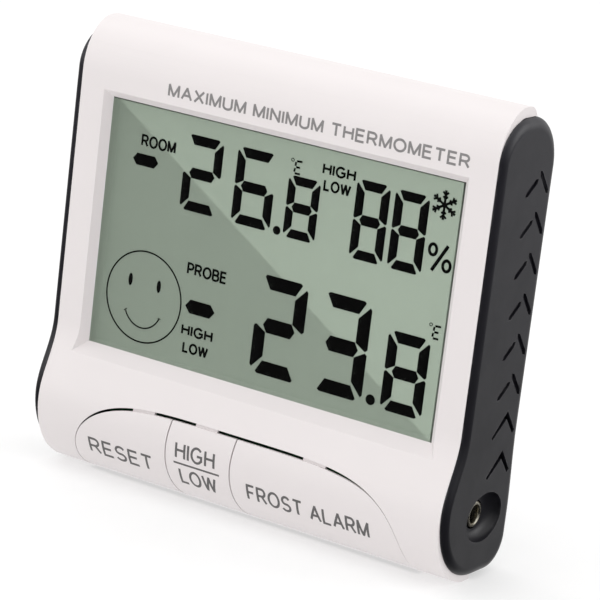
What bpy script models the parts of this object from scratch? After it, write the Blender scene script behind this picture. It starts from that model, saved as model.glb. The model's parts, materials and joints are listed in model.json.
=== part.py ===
"""Maximum-minimum thermometer with a large display, three keys, a probe jack and a fold-out stand.

Frame: +X to the right as seen from the front, +Y to the back, +Z up, origin at the bottom centre.
Lengths below are in millimetres; the helpers turn them into metres.
"""

import math

import bmesh
import bpy
from mathutils import Matrix, Vector

MM = 0.001
GAP = 0.3
PAST = 2.0
OVERLAP = 0.2

# Sides of a round part, from the smallest holes to the largest discs.
TINY = 12
SMALL = 16
MEDIUM = 24
LARGE = 28

# Front shell: a C-shaped sleeve of constant section along X.
SHELL_HALF = 47.7
SHELL_WALL = 2.0
FRONT_Y = -8.95
BULLNOSE_Y = 1.47
BULLNOSE_Z = 14.34
BULLNOSE_R = 14.54
BLEND_TOP_Z = 30.8
CROWN_Y = -0.5
CROWN_Z = 82.5
CROWN_RY = 8.45
CROWN_RZ = 10.65
LIP_R = 3.0
LIP_END_ANGLE = 42
LIP_FLAT = 0.1
LIP_BACK_Y = 3.9
BASE_BACK_Y = 1.9

# Rear shell: a D-shaped box whose cheeks cover the ends of the sleeve.
CHEEK_HALF = 49.0
CAVITY_HALF = 46.0
CAVITY_FRONT_WALL = 1.0
BACK_Y = 12.0
BACK_BULGE_Z = 11.0
BACK_BLEND_TOP_Z = 30.0
PAST_BACK_Y = BACK_Y + PAST
BACK_WALL = 2.0
INSIDE_Y = BACK_Y - BACK_WALL
CHEEK_FRONT_Y = -8.95
CHEEK_LOW = (1.88, 15.76, 14.7)
CHEEK_LOW_ANGLE = 268
CHEEK_BLEND_TOP_Z = 31.0
CHEEK_CROWN = (0.0, 83.0, 8.9, 8.1)
BACK_TOP = (2.3, 81.0, 9.7, 10.1)
BACK_LOW = (6.5, 7.5, 6.5)
CHEEK_EDGE_R = 1.6
CHEEK_EDGE_ANGLE = 60
MOUTH_Y = 2.2
MOUTH_FRONT_Y = -20.0
MOUTH_Z = (-5.0, 100.0)
SLEEVE_ROOM = 1.5
FOOT_X = 30.0
FOOT_SIZE = (16.0, 4.5, 2.0)
FOOT_Y = 6.0
FOOT_EDGE_R = 0.4

# Display window, lens and liquid crystal panel.
WINDOW_HALF = 40.66
WINDOW_Z = (27.56, 78.16)
WINDOW_BEVEL = 1.4
WINDOW_DEPTH_Y = -7.3
WINDOW_BACK_Y = -4.0
LENS_HALF = 42.4
LENS_Z = (26.2, 79.6)
LENS_Y = (-7.0, -6.0)
LENS_EDGE_R = 0.2
LCD_HALF = 42.0
LCD_Z = (26.6, 79.2)
LCD_Y = (-5.7, -4.1)
HOLDER_HALF = 43.8
HOLDER_Z = (24.9, 80.9)
HOLDER_Y = (-6.8, -2.6)
HOLDER_FLOOR_Y = -3.8
HOLDER_POCKET_LOW_Z = 25.9
EAR_R = 2.8
EAR_STEP = 0.1
NECK_HALF = 2.5
CLIP_X = 18.0
CLIP_STEM = ((3.0, 44.3), (0.5, 45.6))
CLIP_STEM_ROOT = 0.6
CLIP_HOOK = ((2.7, 43.2), (0.4, 45.0))
ZEBRA_HALF = 36.0
ZEBRA_Z = (27.2, 29.7)

# Keys, moulded with a thin web each that bends where the key turns.
KEY_HALF = 39.4
KEY_TOP_Z = 18.9
KEY_POWERS = (4.5, 2.65)
KEY_FRONT_Y = -16.0
KEY_END_Y = -3.7
KEY_HOLE_END_Y = -2.2
KEY_GAP = 0.4
KEY_SPLITS = (-14.9, 0.65)
KEY_SPLIT_BOW = 0.8
KEY_BELOW_Z = -2.0
KEY_LEAST_Z = 0.5
KEY_ROWS = 5
KEY_STEPS = 14
KEY_WALL = 2.0
KEY_NAMES = ("key_clear", "key_max_min", "key_alarm")
WEB_CENTRES = (-22.1, -6.9, 18.5)
PLUNGER_CENTRES = (-27.0, -7.2, 19.8)
WEB_HALF = 2.6
WEB_Y = (-11.1, -10.3)
WEB_Z = (16.4, 21.3)
WEB_POCKET_Y = -9.0
WEB_POCKET_Z = 17.0
KEY_AXIS_Y = -10.7
KEY_AXIS_Z = 20.5
PLUNGER_Z = 10.5
PLUNGER_R = 2.2
PLUNGER_Y = (-11.27, -4.5)
PILL_Y = (-4.2, -2.9)
PILL_R = 2.4

# Circuit board and what is on it; heights are above its back face.
BOARD_HALF = 37.5
BOARD_Z = (5.5, 44.0)
BOARD_Y = (-1.9, -0.7)
PARTS_Y = BOARD_Y[1] + OVERLAP
CHIP_PLACE = (0.0, 27.0)
CHIP_RADII = (6.0, 3.6)
CHIP_HEIGHT = 1.6
CHIP_EDGE_R = 0.5
CHIP_EDGE_ANGLE = 25
CRYSTAL_X = 12.5
CRYSTAL_R = 1.0
CRYSTAL_Z = (20.0, 26.0)
BEAD_X = -21.0
BEAD_R = 0.9
BEAD_LIFT = 1.0
BEAD_Z = (11.0, 15.0)
SENSOR_X = (-34.0, -26.0)
SENSOR_Z = (10.0, 17.0)
SENSOR_HEIGHT = 3.2
SENSOR_SLOTS = 3
SENSOR_SLOT_X = (-33.0, -27.0)
SENSOR_SLOT_Z = 11.2
SENSOR_SLOT_PITCH = 1.6
SENSOR_SLOT_WIDTH = 0.8
SENSOR_SLOT_DEPTH = 0.8
CAPACITOR_PLACE = (8.0, 37.0)
CAPACITOR_R = 2.0
CAPACITOR_HEIGHT = 5.0
SMALL_EDGE_R = 0.3
PART_EDGE_R = 0.5

# Probe jack, in an oval dish in the right cheek.
JACK_Y = 2.2
JACK_Z = 12.85
JACK_BODY_X = (34.0, 45.0)
JACK_BODY_HALF = (2.6, 3.0)
JACK_BORE_R = 1.8
JACK_BORE_X = 36.0
RING_R = 2.65
RING_X = (45.3, 47.0)
RING_EDGE_R = 0.25
FUNNEL_R = 4.95
FUNNEL_STRETCH = 1.35
FUNNEL_PAST = 0.05
THROAT_R = 3.0
THROAT_X = 46.7
THROAT_START_X = 44.0

# Unit button with its switch, and the sounder.
UNIT_X = 30.0
UNIT_Z = 30.0
UNIT_R = 2.4
UNIT_TRAVEL = 0.8
UNIT_RECESS = 0.1
UNIT_FRONT_Y = 8.0
UNIT_FLANGE_R = 3.4
UNIT_FLANGE_Y = (8.4, 9.6)
UNIT_POST_R = 1.5
UNIT_POST_END_Y = 8.6
SWITCH_HALF = 3.0
SWITCH_HEIGHT = 3.4
SWITCH_STEM_R = 1.7
SWITCH_STEM_HEIGHT = 4.2
BEEPER_X = -30.5
BEEPER_Z = 30.0
BEEPER_R = 6.8
BEEPER_Y = (9.3, 9.7)
SOUND_R = 0.8
SOUND_RING_R = 3.0
SOUND_HOLES = 6
BACK_HOLE_Y = 8.0
VENTS = 4
VENT_X = (-37.0, -23.0)
VENT_Z = 10.0
VENT_WIDTH = 1.2
VENT_PITCH = 2.6

# Battery bay with its door.
BAY_X = (-25.8, 27.4)
BAY_Z = (48.5, 60.5)
BAY_Y = -0.7
BAY_WALL = 1.8
BAY_FLOOR = 1.0
TAB_END_X = -29.0
TAB_ROOM_Y = (-2.1, -0.3)
DOOR_HALF = 27.0
DOOR_Z = (47.1, 61.9)
DOOR_THICK = 1.5
DOOR_Y = BACK_Y - DOOR_THICK
DOOR_EDGE_R = 0.35
DOOR_TAB_X = (-28.4, -25.0)
DOOR_TAB_Y = (-1.8, -0.8)
DOOR_TAB_STARTS = (51.0, 55.8)
DOOR_TAB_WIDTH = 2.2
DOOR_TAB_ROOT_X = (-26.6, -25.2)
DOOR_TAB_ROOT_Y = -1.3
DOOR_ROOT_RISE = 0.5
DOOR_LATCH_X = (25.0, 25.9)
DOOR_LATCH_Z = (51.6, 57.4)
DOOR_LATCH_LENGTH = 2.9
RIDGES = 4
RIDGE_X = 18.0
RIDGE_PITCH = 1.6
RIDGE_WIDTH = 0.8
RIDGE_DEPTH = 0.35
RIDGE_Z = (50.5, 58.5)
DOOR_FINGER = (DOOR_HALF + 4.2, BACK_Y + 3.6)
DOOR_FINGER_R = 5.2
DOOR_FINGER_Z = (51.5, 57.5)

# Cell, its contacts and the wires.
CELL_R = 5.25
CELL_Y = 4.8
CELL_Z = 54.5
CELL_X = (-18.6, 25.0)
CELL_EDGE_R = 0.4
NUB_R = 1.9
NUB_LENGTH = 0.9
CONTACT_Y = (-0.3, 7.2)
CONTACT_Z = (49.2, 59.8)
TAIL_Y = (3.6, 5.4)
TAIL_Z = 45.0
PLUS_X = (26.25, 26.65)
MINUS_X = (-25.5, -25.1)
TAIL_ROOM_Y = (3.0, 6.0)
TAIL_ROOM_Z = (44.0, 50.0)
TAIL_ROOM_HALF = 0.6
SPRING_START_X = -24.4
SPRING_TURNS = 3.5
SPRING_STEPS = 12
SPRING_RADII = (3.8, 2.8)
SPRING_WIRE_R = 0.35
BATTERY_WIRE_R = 0.55
BATTERY_WIRE_HEAD = ((4.5, 44.4), (4.2, 42.8))
BATTERY_WIRE_TAIL = ((2.2, 41.6), (0.8, 40.4), (0.2, 39.6))
PLUS_WIRE_X = (26.45, 26.3, 24.6, 22.0, 20.2)
MINUS_WIRE_X = (-25.3, -25.2, -23.2, -20.4, -18.4)
BEEPER_WIRE_R = 0.4
BEEPER_WIRE_STEPS = (
    (0.0, 8.7, 0.0), (1.5, 7.8, 0.6), (6.0, 5.0, 1.4), (10.0, 2.4, 0.8), (12.0, 0.3, 0.0),
)
BEEPER_WIRE_Z = (33.0, 27.0)
ROUTE_STEPS = 6

# Fold-out stand in its niche.
STAND_HALF = 14.7
STAND_Z = (8.5, 43.1)
STAND_Y = BACK_Y - 1.9
STAND_AXIS_Y = BACK_Y - 1.4
STAND_AXIS_Z = 42.5
STAND_EDGE_R = 0.4
STAND_PANEL_HALF = 10.5
STAND_PANEL_Z = (13.5, 37.0)
STAND_PANEL_DEPTH = 0.5
PIN_R = 0.7
PIN_END = 16.0
NICHE_FLOOR_Y = BACK_Y - 2.4
NICHE_WALL = 1.4
NICHE_SIDE = 1.8
NICHE_BACK_Z = (6.0, 46.0)
NICHE_HEAD = 1.6
STAND_FINGER = (BACK_Y + 2.6, 7.6)
STAND_FINGER_R = 4.2
STAND_FINGER_HALF = 6.0

# Hanging keyhole with a closed pocket behind it.
KEYHOLE_Z = 73.0
KEYHOLE_R = 3.5
SLOT_R = 1.9
SLOT_TOP_Z = 79.5
HOOK_ROOM_HALF = 5.0
HOOK_ROOM_Y = 5.2
HOOK_ROOM_BELOW = 4.0
HOOK_ROOM_ABOVE = 2.6
HOOK_WALL = 1.6
HOOK_SIDE_WALL = 1.8

# Fasteners: (x, z) of each, and the screws' sizes.
CASE_SCREWS = ((-42.0, 84.0), (42.0, 84.0), (-42.0, 21.5), (42.0, 21.5))
BOARD_SCREWS = ((-34.0, 22.4), (34.0, 22.4))
HOLDER_SCREWS = ((-22.0, 84.2), (22.0, 84.2))
BOSS_BACK_Y = 0.7
BOSS_ROOT_Y = FRONT_Y + 1.0
BLEND_ROOT_Y = -9.7
CASE_BOSS_R = 2.8
CASE_PILOT_R = 1.25
CASE_PILOT_Y = -4.5
PILLAR_R = 3.4
PILLAR_Y = 1.0
CASE_HOLE_R = 1.4
COUNTERBORE_R = 2.6
COUNTERBORE_Y = 3.2
POST_R = 2.1
POST_PILOT_R = 1.1
POST_HOLE_R = 1.3
BOARD_PILOT_Y = -7.5
HOLDER_ROOT_Y = -8.0
HOLDER_PILOT_Y = -6.8
CASE_SHAFT = (0.95, -3.8)
CASE_HEAD = (2.2, 1.5)
BOARD_SHAFT = (0.8, -6.8)
HOLDER_SHAFT = (0.8, -6.4)
SMALL_HEAD = (1.9, 1.2)
HEAD_EDGE_R = 0.35
HEAD_EDGE_ANGLE = 50
CROSS_REACH = 0.55
CROSS_HALF = 0.25
CROSS_DEPTH = 0.6

# Chevron grooves in the cheeks: (y, z) from the row's low front corner.
GROOVE_START = (0.8, 76.2)
GROOVE_PITCH = 7.93
GROOVE_ROWS = 8
GROOVE_WHOLE = 2
GROOVE_WIDTH = 1.0
GROOVE_DEPTH = 0.6
GROOVE_FRONT = ((0.0, 0.0), (4.2, 2.8))
GROOVE_REAR = ((5.2, 4.4), (8.7, -0.2))
GROOVE_APEX = (5.4, 4.3)
GROOVE_TRIM = 0.02
GROOVE_SHIFT = 0.75


def clear_scene():
    for obj in list(bpy.data.objects):
        bpy.data.objects.remove(obj, do_unlink=True)


def new_collection(name):
    collection = bpy.data.collections.new(name)
    bpy.context.scene.collection.children.link(collection)
    return collection


clear_scene()
PARTS = new_collection("thermometer")
CUTTERS = new_collection("cutters")
CUTTERS.hide_render = True


def make_material(name, color, roughness, metallic=0.0, alpha=1.0):
    material = bpy.data.materials.new(name)
    material.use_nodes = True
    shader = material.node_tree.nodes["Principled BSDF"]
    shader.inputs["Base Color"].default_value = (*color, 1.0)
    shader.inputs["Roughness"].default_value = roughness
    shader.inputs["Metallic"].default_value = metallic
    shader.inputs["Alpha"].default_value = alpha
    return material


def add_mesh(name, mesh):
    obj = bpy.data.objects.new(name, mesh)
    CUTTERS.objects.link(obj)
    obj.hide_render = True
    obj.display_type = "WIRE"
    return obj


def from_bmesh(name, shape):
    bmesh.ops.recalc_face_normals(shape, faces=shape.faces)
    mesh = bpy.data.meshes.new(name)
    shape.to_mesh(mesh)
    shape.free()
    return add_mesh(name, mesh)


def box(name, low, high):
    low, high = Vector(low) * MM, Vector(high) * MM
    shape = bmesh.new()
    place = Matrix.Translation((low + high) / 2) @ Matrix.Diagonal((*(high - low), 1.0))
    bmesh.ops.create_cube(shape, size=1.0, matrix=place)
    return from_bmesh(name, shape)


def rod(name, axis, centre, radius, span, segments=MEDIUM, end_radius=None):
    """A cylinder or cone along one axis; span is its first and last place on that axis."""
    turn = {"X": Matrix.Rotation(math.pi / 2, 4, "Y"), "Y": Matrix.Rotation(-math.pi / 2, 4, "X")}
    along = "XYZ".index(axis)
    middle = list(centre)
    middle.insert(along, sum(span) / 2)
    shape = bmesh.new()
    bmesh.ops.create_cone(
        shape,
        cap_ends=True,
        segments=segments,
        radius1=radius * MM,
        radius2=(radius if end_radius is None else end_radius) * MM,
        depth=(span[1] - span[0]) * MM,
        matrix=Matrix.Translation(Vector(middle) * MM) @ turn.get(axis, Matrix()),
    )
    return from_bmesh(name, shape)


def prism(name, outline, span, plane="YZ"):
    """A flat closed outline, extruded along the third axis over span."""
    curve = bpy.data.curves.new(name, "CURVE")
    curve.dimensions = "2D"
    curve.fill_mode = "BOTH"
    curve.extrude = (span[1] - span[0]) / 2 * MM
    spline = curve.splines.new("POLY")
    spline.points.add(len(outline) - 1)
    spline.use_cyclic_u = True
    for point, (u, v) in zip(spline.points, outline):
        point.co = (u * MM, v * MM, 0.0, 1.0)
    holder = bpy.data.objects.new(name + "_outline", curve)
    bpy.context.scene.collection.objects.link(holder)
    graph = bpy.context.evaluated_depsgraph_get()
    mesh = bpy.data.meshes.new_from_object(holder.evaluated_get(graph))
    bpy.data.objects.remove(holder, do_unlink=True)
    bpy.data.curves.remove(curve)
    shape = bmesh.new()
    shape.from_mesh(mesh)
    bpy.data.meshes.remove(mesh)
    bmesh.ops.remove_doubles(shape, verts=shape.verts, dist=1e-6)
    axes = {"YZ": ((0, 0, 1), (1, 0, 0), (0, 1, 0)), "XZ": ((1, 0, 0), (0, 0, -1), (0, 1, 0))}[plane]
    place = Matrix(axes).to_4x4()
    middle = sum(span) / 2 * MM
    place.translation = (middle, 0, 0) if plane == "YZ" else (0, middle, 0)
    bmesh.ops.transform(shape, matrix=place, verts=shape.verts)
    return from_bmesh(name, shape)


def combine(target, operation, *tools):
    for tool in tools:
        modifier = target.modifiers.new(operation.lower() + "_" + tool.name, "BOOLEAN")
        modifier.operation = operation
        modifier.solver = "EXACT"
        modifier.object = tool
    return target


def cut(target, *tools):
    return combine(target, "DIFFERENCE", *tools)


def join(target, *tools):
    return combine(target, "UNION", *tools)


def keep_common(target, *tools):
    return combine(target, "INTERSECT", *tools)


def round_edges(obj, width, segments=2, angle=40):
    modifier = obj.modifiers.new("rounded_edges", "BEVEL")
    modifier.width = width * MM
    modifier.segments = segments
    modifier.limit_method = "ANGLE"
    modifier.angle_limit = math.radians(angle)
    return obj


def set_origin(obj, place):
    """Moves the object's origin, and leaves its shape where it is."""
    place = Vector(place) * MM
    obj.data.transform(Matrix.Translation(-place))
    obj.location = place
    return obj


def publish(obj, material, smooth_angle=35):
    """Makes a shape one of the thermometer's parts."""
    CUTTERS.objects.unlink(obj)
    PARTS.objects.link(obj)
    obj.hide_render = False
    obj.display_type = "TEXTURED"
    obj.data.materials.clear()
    obj.data.materials.append(material)
    obj.data.shade_smooth()
    obj.data.set_sharp_from_angle(angle=math.radians(smooth_angle))
    return obj


def arc(centre, radii, first, last, steps):
    """Points on an ellipse arc, angles in degrees from the first axis towards the second."""
    angles = [math.radians(first + (last - first) * i / steps) for i in range(steps + 1)]
    return [(centre[0] + radii[0] * math.cos(a), centre[1] + radii[1] * math.sin(a)) for a in angles]


def s_blend(low, high, steps):
    """A half-cosine blend between two points, without its two ends."""
    points = []
    for i in range(1, steps):
        share = i / steps
        ease = (1 - math.cos(math.pi * share)) / 2
        points.append((low[0] + (high[0] - low[0]) * ease, low[1] + (high[1] - low[1]) * share))
    return points


def sleeve_front(inset):
    """The sleeve's profile in YZ at this depth below the outer surface, from the base up to the crown."""
    radius = BULLNOSE_R - inset
    rise = min((BULLNOSE_Z - inset) / radius, 1.0)
    start = math.degrees(math.acos(rise))
    low = arc((BULLNOSE_Y, BULLNOSE_Z), (radius, radius), 270 - start, 180, 10)
    nose_y = BULLNOSE_Y - radius
    face = (FRONT_Y + inset, BLEND_TOP_Z)
    middle = s_blend((nose_y, BULLNOSE_Z), face, 8)
    crown = arc((CROWN_Y, CROWN_Z), (CROWN_RY - inset, CROWN_RZ - inset), 180, 90, 9)
    return low + middle + [face] + crown


def sleeve_band(outer_inset, inner_inset, base_back, lip_back):
    """The closed C outline between two depths."""
    outer = [(base_back, outer_inset)] + sleeve_front(outer_inset)
    inner = [(base_back, inner_inset)] + sleeve_front(inner_inset)
    top_outer = CROWN_Z + CROWN_RZ - outer_inset
    top_inner = CROWN_Z + CROWN_RZ - inner_inset
    nose = arc((lip_back - LIP_R, top_outer - LIP_R), (LIP_R, LIP_R), 90, LIP_END_ANGLE, 4)
    return outer + nose + [(lip_back - LIP_FLAT, top_inner)] + inner[::-1]


def cheek_outline(inset, back_inset, front_inset=0.0):
    """The D outline of the rear shell; its front follows the sleeve."""
    y, z, radius = CHEEK_LOW
    radius -= front_inset
    low_front = arc((y, z), (radius, radius), CHEEK_LOW_ANGLE, 180, 8)
    front_y = CHEEK_FRONT_Y + front_inset
    blend = s_blend((y - radius, z), (front_y, CHEEK_BLEND_TOP_Z), 6)
    cy, cz, ry, rz = CHEEK_CROWN
    crown = arc((cy, cz), (ry - front_inset, rz - inset), 180, 90, 8)
    ty, tz, top_ry, top_rz = BACK_TOP
    top = arc((ty, tz), (top_ry - back_inset, top_rz - inset), 90, 0, 8)
    by, bz, br = BACK_LOW
    low_back = arc((by, bz), (br - back_inset, br - inset), 0, -90, 6)
    bulge_y = by + br - back_inset
    back_y = ty + top_ry - back_inset
    back = [(back_y, BACK_BLEND_TOP_Z)]
    back += s_blend((bulge_y, BACK_BULGE_Z), (back_y, BACK_BLEND_TOP_Z), 6)[::-1]
    return low_front + blend + [(front_y, CHEEK_BLEND_TOP_Z)] + crown + top + back + low_back


def key_top(x, grow=0.0):
    reach = min(abs(x) / (KEY_HALF + grow), 1.0)
    return (KEY_TOP_Z + grow) * (1 - reach ** KEY_POWERS[0]) ** (1 / KEY_POWERS[1])


def key_split(z):
    """How far a split between two keys bows to the left at this height."""
    share = min(max(z / KEY_TOP_Z, 0.0), 1.0)
    return -KEY_SPLIT_BOW * math.sin(math.pi * share)


def key_edge(x, side, grow):
    """A key's left or right edge, from below the base up to its top: an end, or a bowed split."""
    half = KEY_HALF + grow
    if abs(x) >= half:
        return [(side * half, KEY_BELOW_Z), (side * half, 0.0)]
    rows = [KEY_BELOW_Z] + [key_top(x, grow) * i / KEY_ROWS for i in range(KEY_ROWS)]
    return [(x + key_split(z), z) for z in rows]


def key_outline(left, right, grow=0.0, steps=KEY_STEPS):
    """One key's outline in XZ, or the whole opening's where left and right are its ends."""
    half = KEY_HALF + grow
    # Equal steps in angle crowd the points towards the round corners.
    first = math.asin(max(left / half, -1.0))
    last = math.asin(min(right / half, 1.0))
    top = []
    for i in range(steps + 1):
        x = half * math.sin(first + (last - first) * i / steps)
        z = key_top(x, grow)
        if z > KEY_LEAST_Z:
            top.append((x, z))
    return key_edge(left, -1, grow) + top + key_edge(right, 1, grow)[::-1]


def make_window_cutter():
    """The window's opening, with walls that slope in from the outer surface."""
    outer_y = BULLNOSE_Y - BULLNOSE_R - PAST
    slope = WINDOW_BEVEL / (WINDOW_DEPTH_Y - FRONT_Y)
    spread = slope * (WINDOW_DEPTH_Y - outer_y)
    middle_y = (outer_y + WINDOW_DEPTH_Y) / 2
    middle_z = sum(WINDOW_Z) / 2
    half_z = (WINDOW_Z[1] - WINDOW_Z[0]) / 2
    window = box("window_cut", (-1, outer_y, -1), (1, WINDOW_DEPTH_Y, 1))
    for vertex in window.data.vertices:
        grow = spread if vertex.co.y < middle_y * MM else 0.0
        vertex.co.x = math.copysign(WINDOW_HALF + grow, vertex.co.x) * MM
        vertex.co.z = (middle_z + math.copysign(half_z + grow, vertex.co.z)) * MM
    return window


def make_front_shell(material):
    band = sleeve_band(0.0, SHELL_WALL, BASE_BACK_Y, LIP_BACK_Y)
    shell = prism("front_shell", band, (-SHELL_HALF, SHELL_HALF))
    through = box(
        "window_through",
        (-WINDOW_HALF, WINDOW_DEPTH_Y - OVERLAP, WINDOW_Z[0]),
        (WINDOW_HALF, WINDOW_BACK_Y, WINDOW_Z[1]),
    )
    pocket = box(
        "lens_pocket",
        (-LENS_HALF - GAP, WINDOW_DEPTH_Y, LENS_Z[0] - GAP),
        (LENS_HALF + GAP, WINDOW_BACK_Y, LENS_Z[1] + GAP),
    )
    half = KEY_HALF + KEY_GAP
    hole_outline = key_outline(-half, half, KEY_GAP, 2 * KEY_STEPS)
    key_hole = prism("key_hole", hole_outline, (KEY_FRONT_Y, KEY_HOLE_END_Y), "XZ")
    tools = [make_window_cutter(), through, pocket, key_hole]
    bosses = []
    for place in CASE_SCREWS:
        root_y = BOSS_ROOT_Y if place[1] > BLEND_TOP_Z else BLEND_ROOT_Y
        pilot = (CASE_PILOT_Y, BOSS_BACK_Y + PAST)
        bosses.append(rod("case_boss", "Y", place, CASE_BOSS_R, (root_y, BOSS_BACK_Y), SMALL))
        tools.append(rod("case_boss_hole", "Y", place, CASE_PILOT_R, pilot, TINY))
    for place in BOARD_SCREWS:
        post = (BLEND_ROOT_Y, BOARD_Y[0] - GAP)
        bosses.append(rod("board_post", "Y", place, POST_R, post, SMALL))
        pilot = (BOARD_PILOT_Y, BOARD_Y[0] + PAST)
        tools.append(rod("board_post_hole", "Y", place, POST_PILOT_R, pilot, TINY))
    for place in HOLDER_SCREWS:
        post = (HOLDER_ROOT_Y, HOLDER_FLOOR_Y - GAP)
        bosses.append(rod("holder_post", "Y", place, POST_R, post, SMALL))
        pilot = (HOLDER_PILOT_Y, HOLDER_FLOOR_Y + PAST)
        tools.append(rod("holder_post_hole", "Y", place, POST_PILOT_R, pilot, TINY))
    for web_x in WEB_CENTRES:
        low = (web_x - WEB_HALF - GAP, WEB_Y[0] - GAP, WEB_POCKET_Z)
        high = (web_x + WEB_HALF + GAP, WEB_POCKET_Y, WEB_Z[1] + GAP)
        tools.append(box("web_pocket", low, high))
    join(shell, *bosses)
    cut(shell, *tools)
    return publish(shell, material)


def groove_arms(row):
    """The arms of one chevron as (start, end), from the front to the back."""
    corner = Vector(GROOVE_START) - Vector((0.0, GROOVE_PITCH * row))
    if row < GROOVE_ROWS - GROOVE_WHOLE:
        arms = (GROOVE_FRONT, GROOVE_REAR)
        return [(corner + Vector(start), corner + Vector(end)) for start, end in arms]
    # The two arms of a whole chevron meet without crossing.
    front = (GROOVE_FRONT[0], GROOVE_APEX, 0.0)
    rear = (GROOVE_APEX, GROOVE_REAR[1], GROOVE_SHIFT)
    arms = []
    for start, end, shift in (front, rear):
        trim = (Vector(end) - Vector(start)) * GROOVE_TRIM
        move = corner + Vector((shift, 0.0))
        arms.append((move + Vector(start) + trim, move + Vector(end) - trim))
    return arms


def make_grooves(side):
    """The chevron grooves of one cheek, as one cutter made of separate bars."""
    shape = bmesh.new()
    face_x = side * CHEEK_HALF
    for row in range(GROOVE_ROWS):
        for start, end in groove_arms(row):
            run = end - start
            middle = (start + end) / 2
            size = Vector((2 * GROOVE_DEPTH, run.length, GROOVE_WIDTH)) * MM
            place = (
                Matrix.Translation(Vector((face_x, middle.x, middle.y)) * MM)
                @ Matrix.Rotation(math.atan2(run.y, run.x), 4, "X")
                @ Matrix.Diagonal((*size, 1.0))
            )
            bmesh.ops.create_cube(shape, size=1.0, matrix=place)
    return from_bmesh("grooves", shape)


def make_feet():
    feet = []
    for x in (-FOOT_X, FOOT_X):
        low = (x - FOOT_SIZE[0] / 2, FOOT_Y - FOOT_SIZE[1] / 2, 0.0)
        high = (x + FOOT_SIZE[0] / 2, FOOT_Y + FOOT_SIZE[1] / 2, FOOT_SIZE[2])
        feet.append(round_edges(box("foot", low, high), FOOT_EDGE_R, 1))
    return feet


def inner_walls():
    """What stands inside the rear shell: the bay, the niche's back, the keyhole's pocket and the pillars."""
    root_y = INSIDE_Y + PART_EDGE_R
    bay = box(
        "bay",
        (TAB_END_X - BAY_WALL, BAY_Y - BAY_FLOOR, BAY_Z[0] - BAY_WALL),
        (BAY_X[1] + BAY_WALL, root_y, BAY_Z[1] + BAY_WALL),
    )
    niche_back = box(
        "niche_back",
        (-PIN_END - NICHE_SIDE, NICHE_FLOOR_Y - NICHE_WALL, NICHE_BACK_Z[0]),
        (PIN_END + NICHE_SIDE, root_y, NICHE_BACK_Z[1]),
    )
    hook_pocket = box(
        "hook_pocket",
        (
            -HOOK_ROOM_HALF - HOOK_SIDE_WALL,
            HOOK_ROOM_Y - HOOK_WALL,
            KEYHOLE_Z - HOOK_ROOM_BELOW - HOOK_WALL,
        ),
        (HOOK_ROOM_HALF + HOOK_SIDE_WALL, root_y, SLOT_TOP_Z + HOOK_ROOM_ABOVE + HOOK_WALL),
    )
    pillars = [
        rod("pillar", "Y", place, PILLAR_R, (PILLAR_Y, root_y), MEDIUM) for place in CASE_SCREWS
    ]
    return [bay, niche_back, hook_pocket, *pillars]


def battery_rooms():
    bay_room = box("bay_room", (BAY_X[0], BAY_Y, BAY_Z[0]), (BAY_X[1], PAST_BACK_Y, BAY_Z[1]))
    tab_room = box(
        "tab_room",
        (TAB_END_X, DOOR_Y + TAB_ROOM_Y[0], BAY_Z[0]),
        (0, DOOR_Y + TAB_ROOM_Y[1], BAY_Z[1]),
    )
    door_room = box(
        "door_room",
        (-DOOR_HALF - GAP, DOOR_Y - GAP, DOOR_Z[0] - GAP),
        (DOOR_HALF + GAP, PAST_BACK_Y, DOOR_Z[1] + GAP),
    )
    finger = rod("door_finger", "Z", DOOR_FINGER, DOOR_FINGER_R, DOOR_FINGER_Z)
    rooms = [bay_room, tab_room, door_room, finger]
    for ends in (MINUS_X, PLUS_X):
        x = sum(ends) / 2
        low = (x - TAIL_ROOM_HALF, TAIL_ROOM_Y[0], TAIL_ROOM_Z[0])
        high = (x + TAIL_ROOM_HALF, TAIL_ROOM_Y[1], TAIL_ROOM_Z[1])
        rooms.append(box("tail_room", low, high))
    return rooms


def stand_rooms():
    niche = box(
        "niche",
        (-STAND_HALF - GAP, NICHE_FLOOR_Y, STAND_Z[0] - GAP),
        (STAND_HALF + GAP, PAST_BACK_Y, STAND_Z[1] + NICHE_HEAD),
    )
    reach = PIN_END + GAP
    axis = (STAND_AXIS_Y, STAND_AXIS_Z)
    pin_room = rod("pin_room", "X", axis, PIN_R + GAP, (-reach, reach), SMALL)
    span = (-STAND_FINGER_HALF, STAND_FINGER_HALF)
    finger = rod("stand_finger", "X", STAND_FINGER, STAND_FINGER_R, span)
    return [niche, pin_room, finger]


def keyhole_rooms():
    room = box(
        "hook_room",
        (-HOOK_ROOM_HALF, HOOK_ROOM_Y, KEYHOLE_Z - HOOK_ROOM_BELOW),
        (HOOK_ROOM_HALF, INSIDE_Y, SLOT_TOP_Z + HOOK_ROOM_ABOVE),
    )
    through = (BACK_HOLE_Y, PAST_BACK_Y)
    hole = rod("hook_hole", "Y", (0, KEYHOLE_Z), KEYHOLE_R, through)
    slot = box("hook_slot", (-SLOT_R, through[0], KEYHOLE_Z), (SLOT_R, through[1], SLOT_TOP_Z))
    top = rod("hook_top", "Y", (0, SLOT_TOP_Z), SLOT_R, through, SMALL)
    return [room, hole, slot, top]


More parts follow.
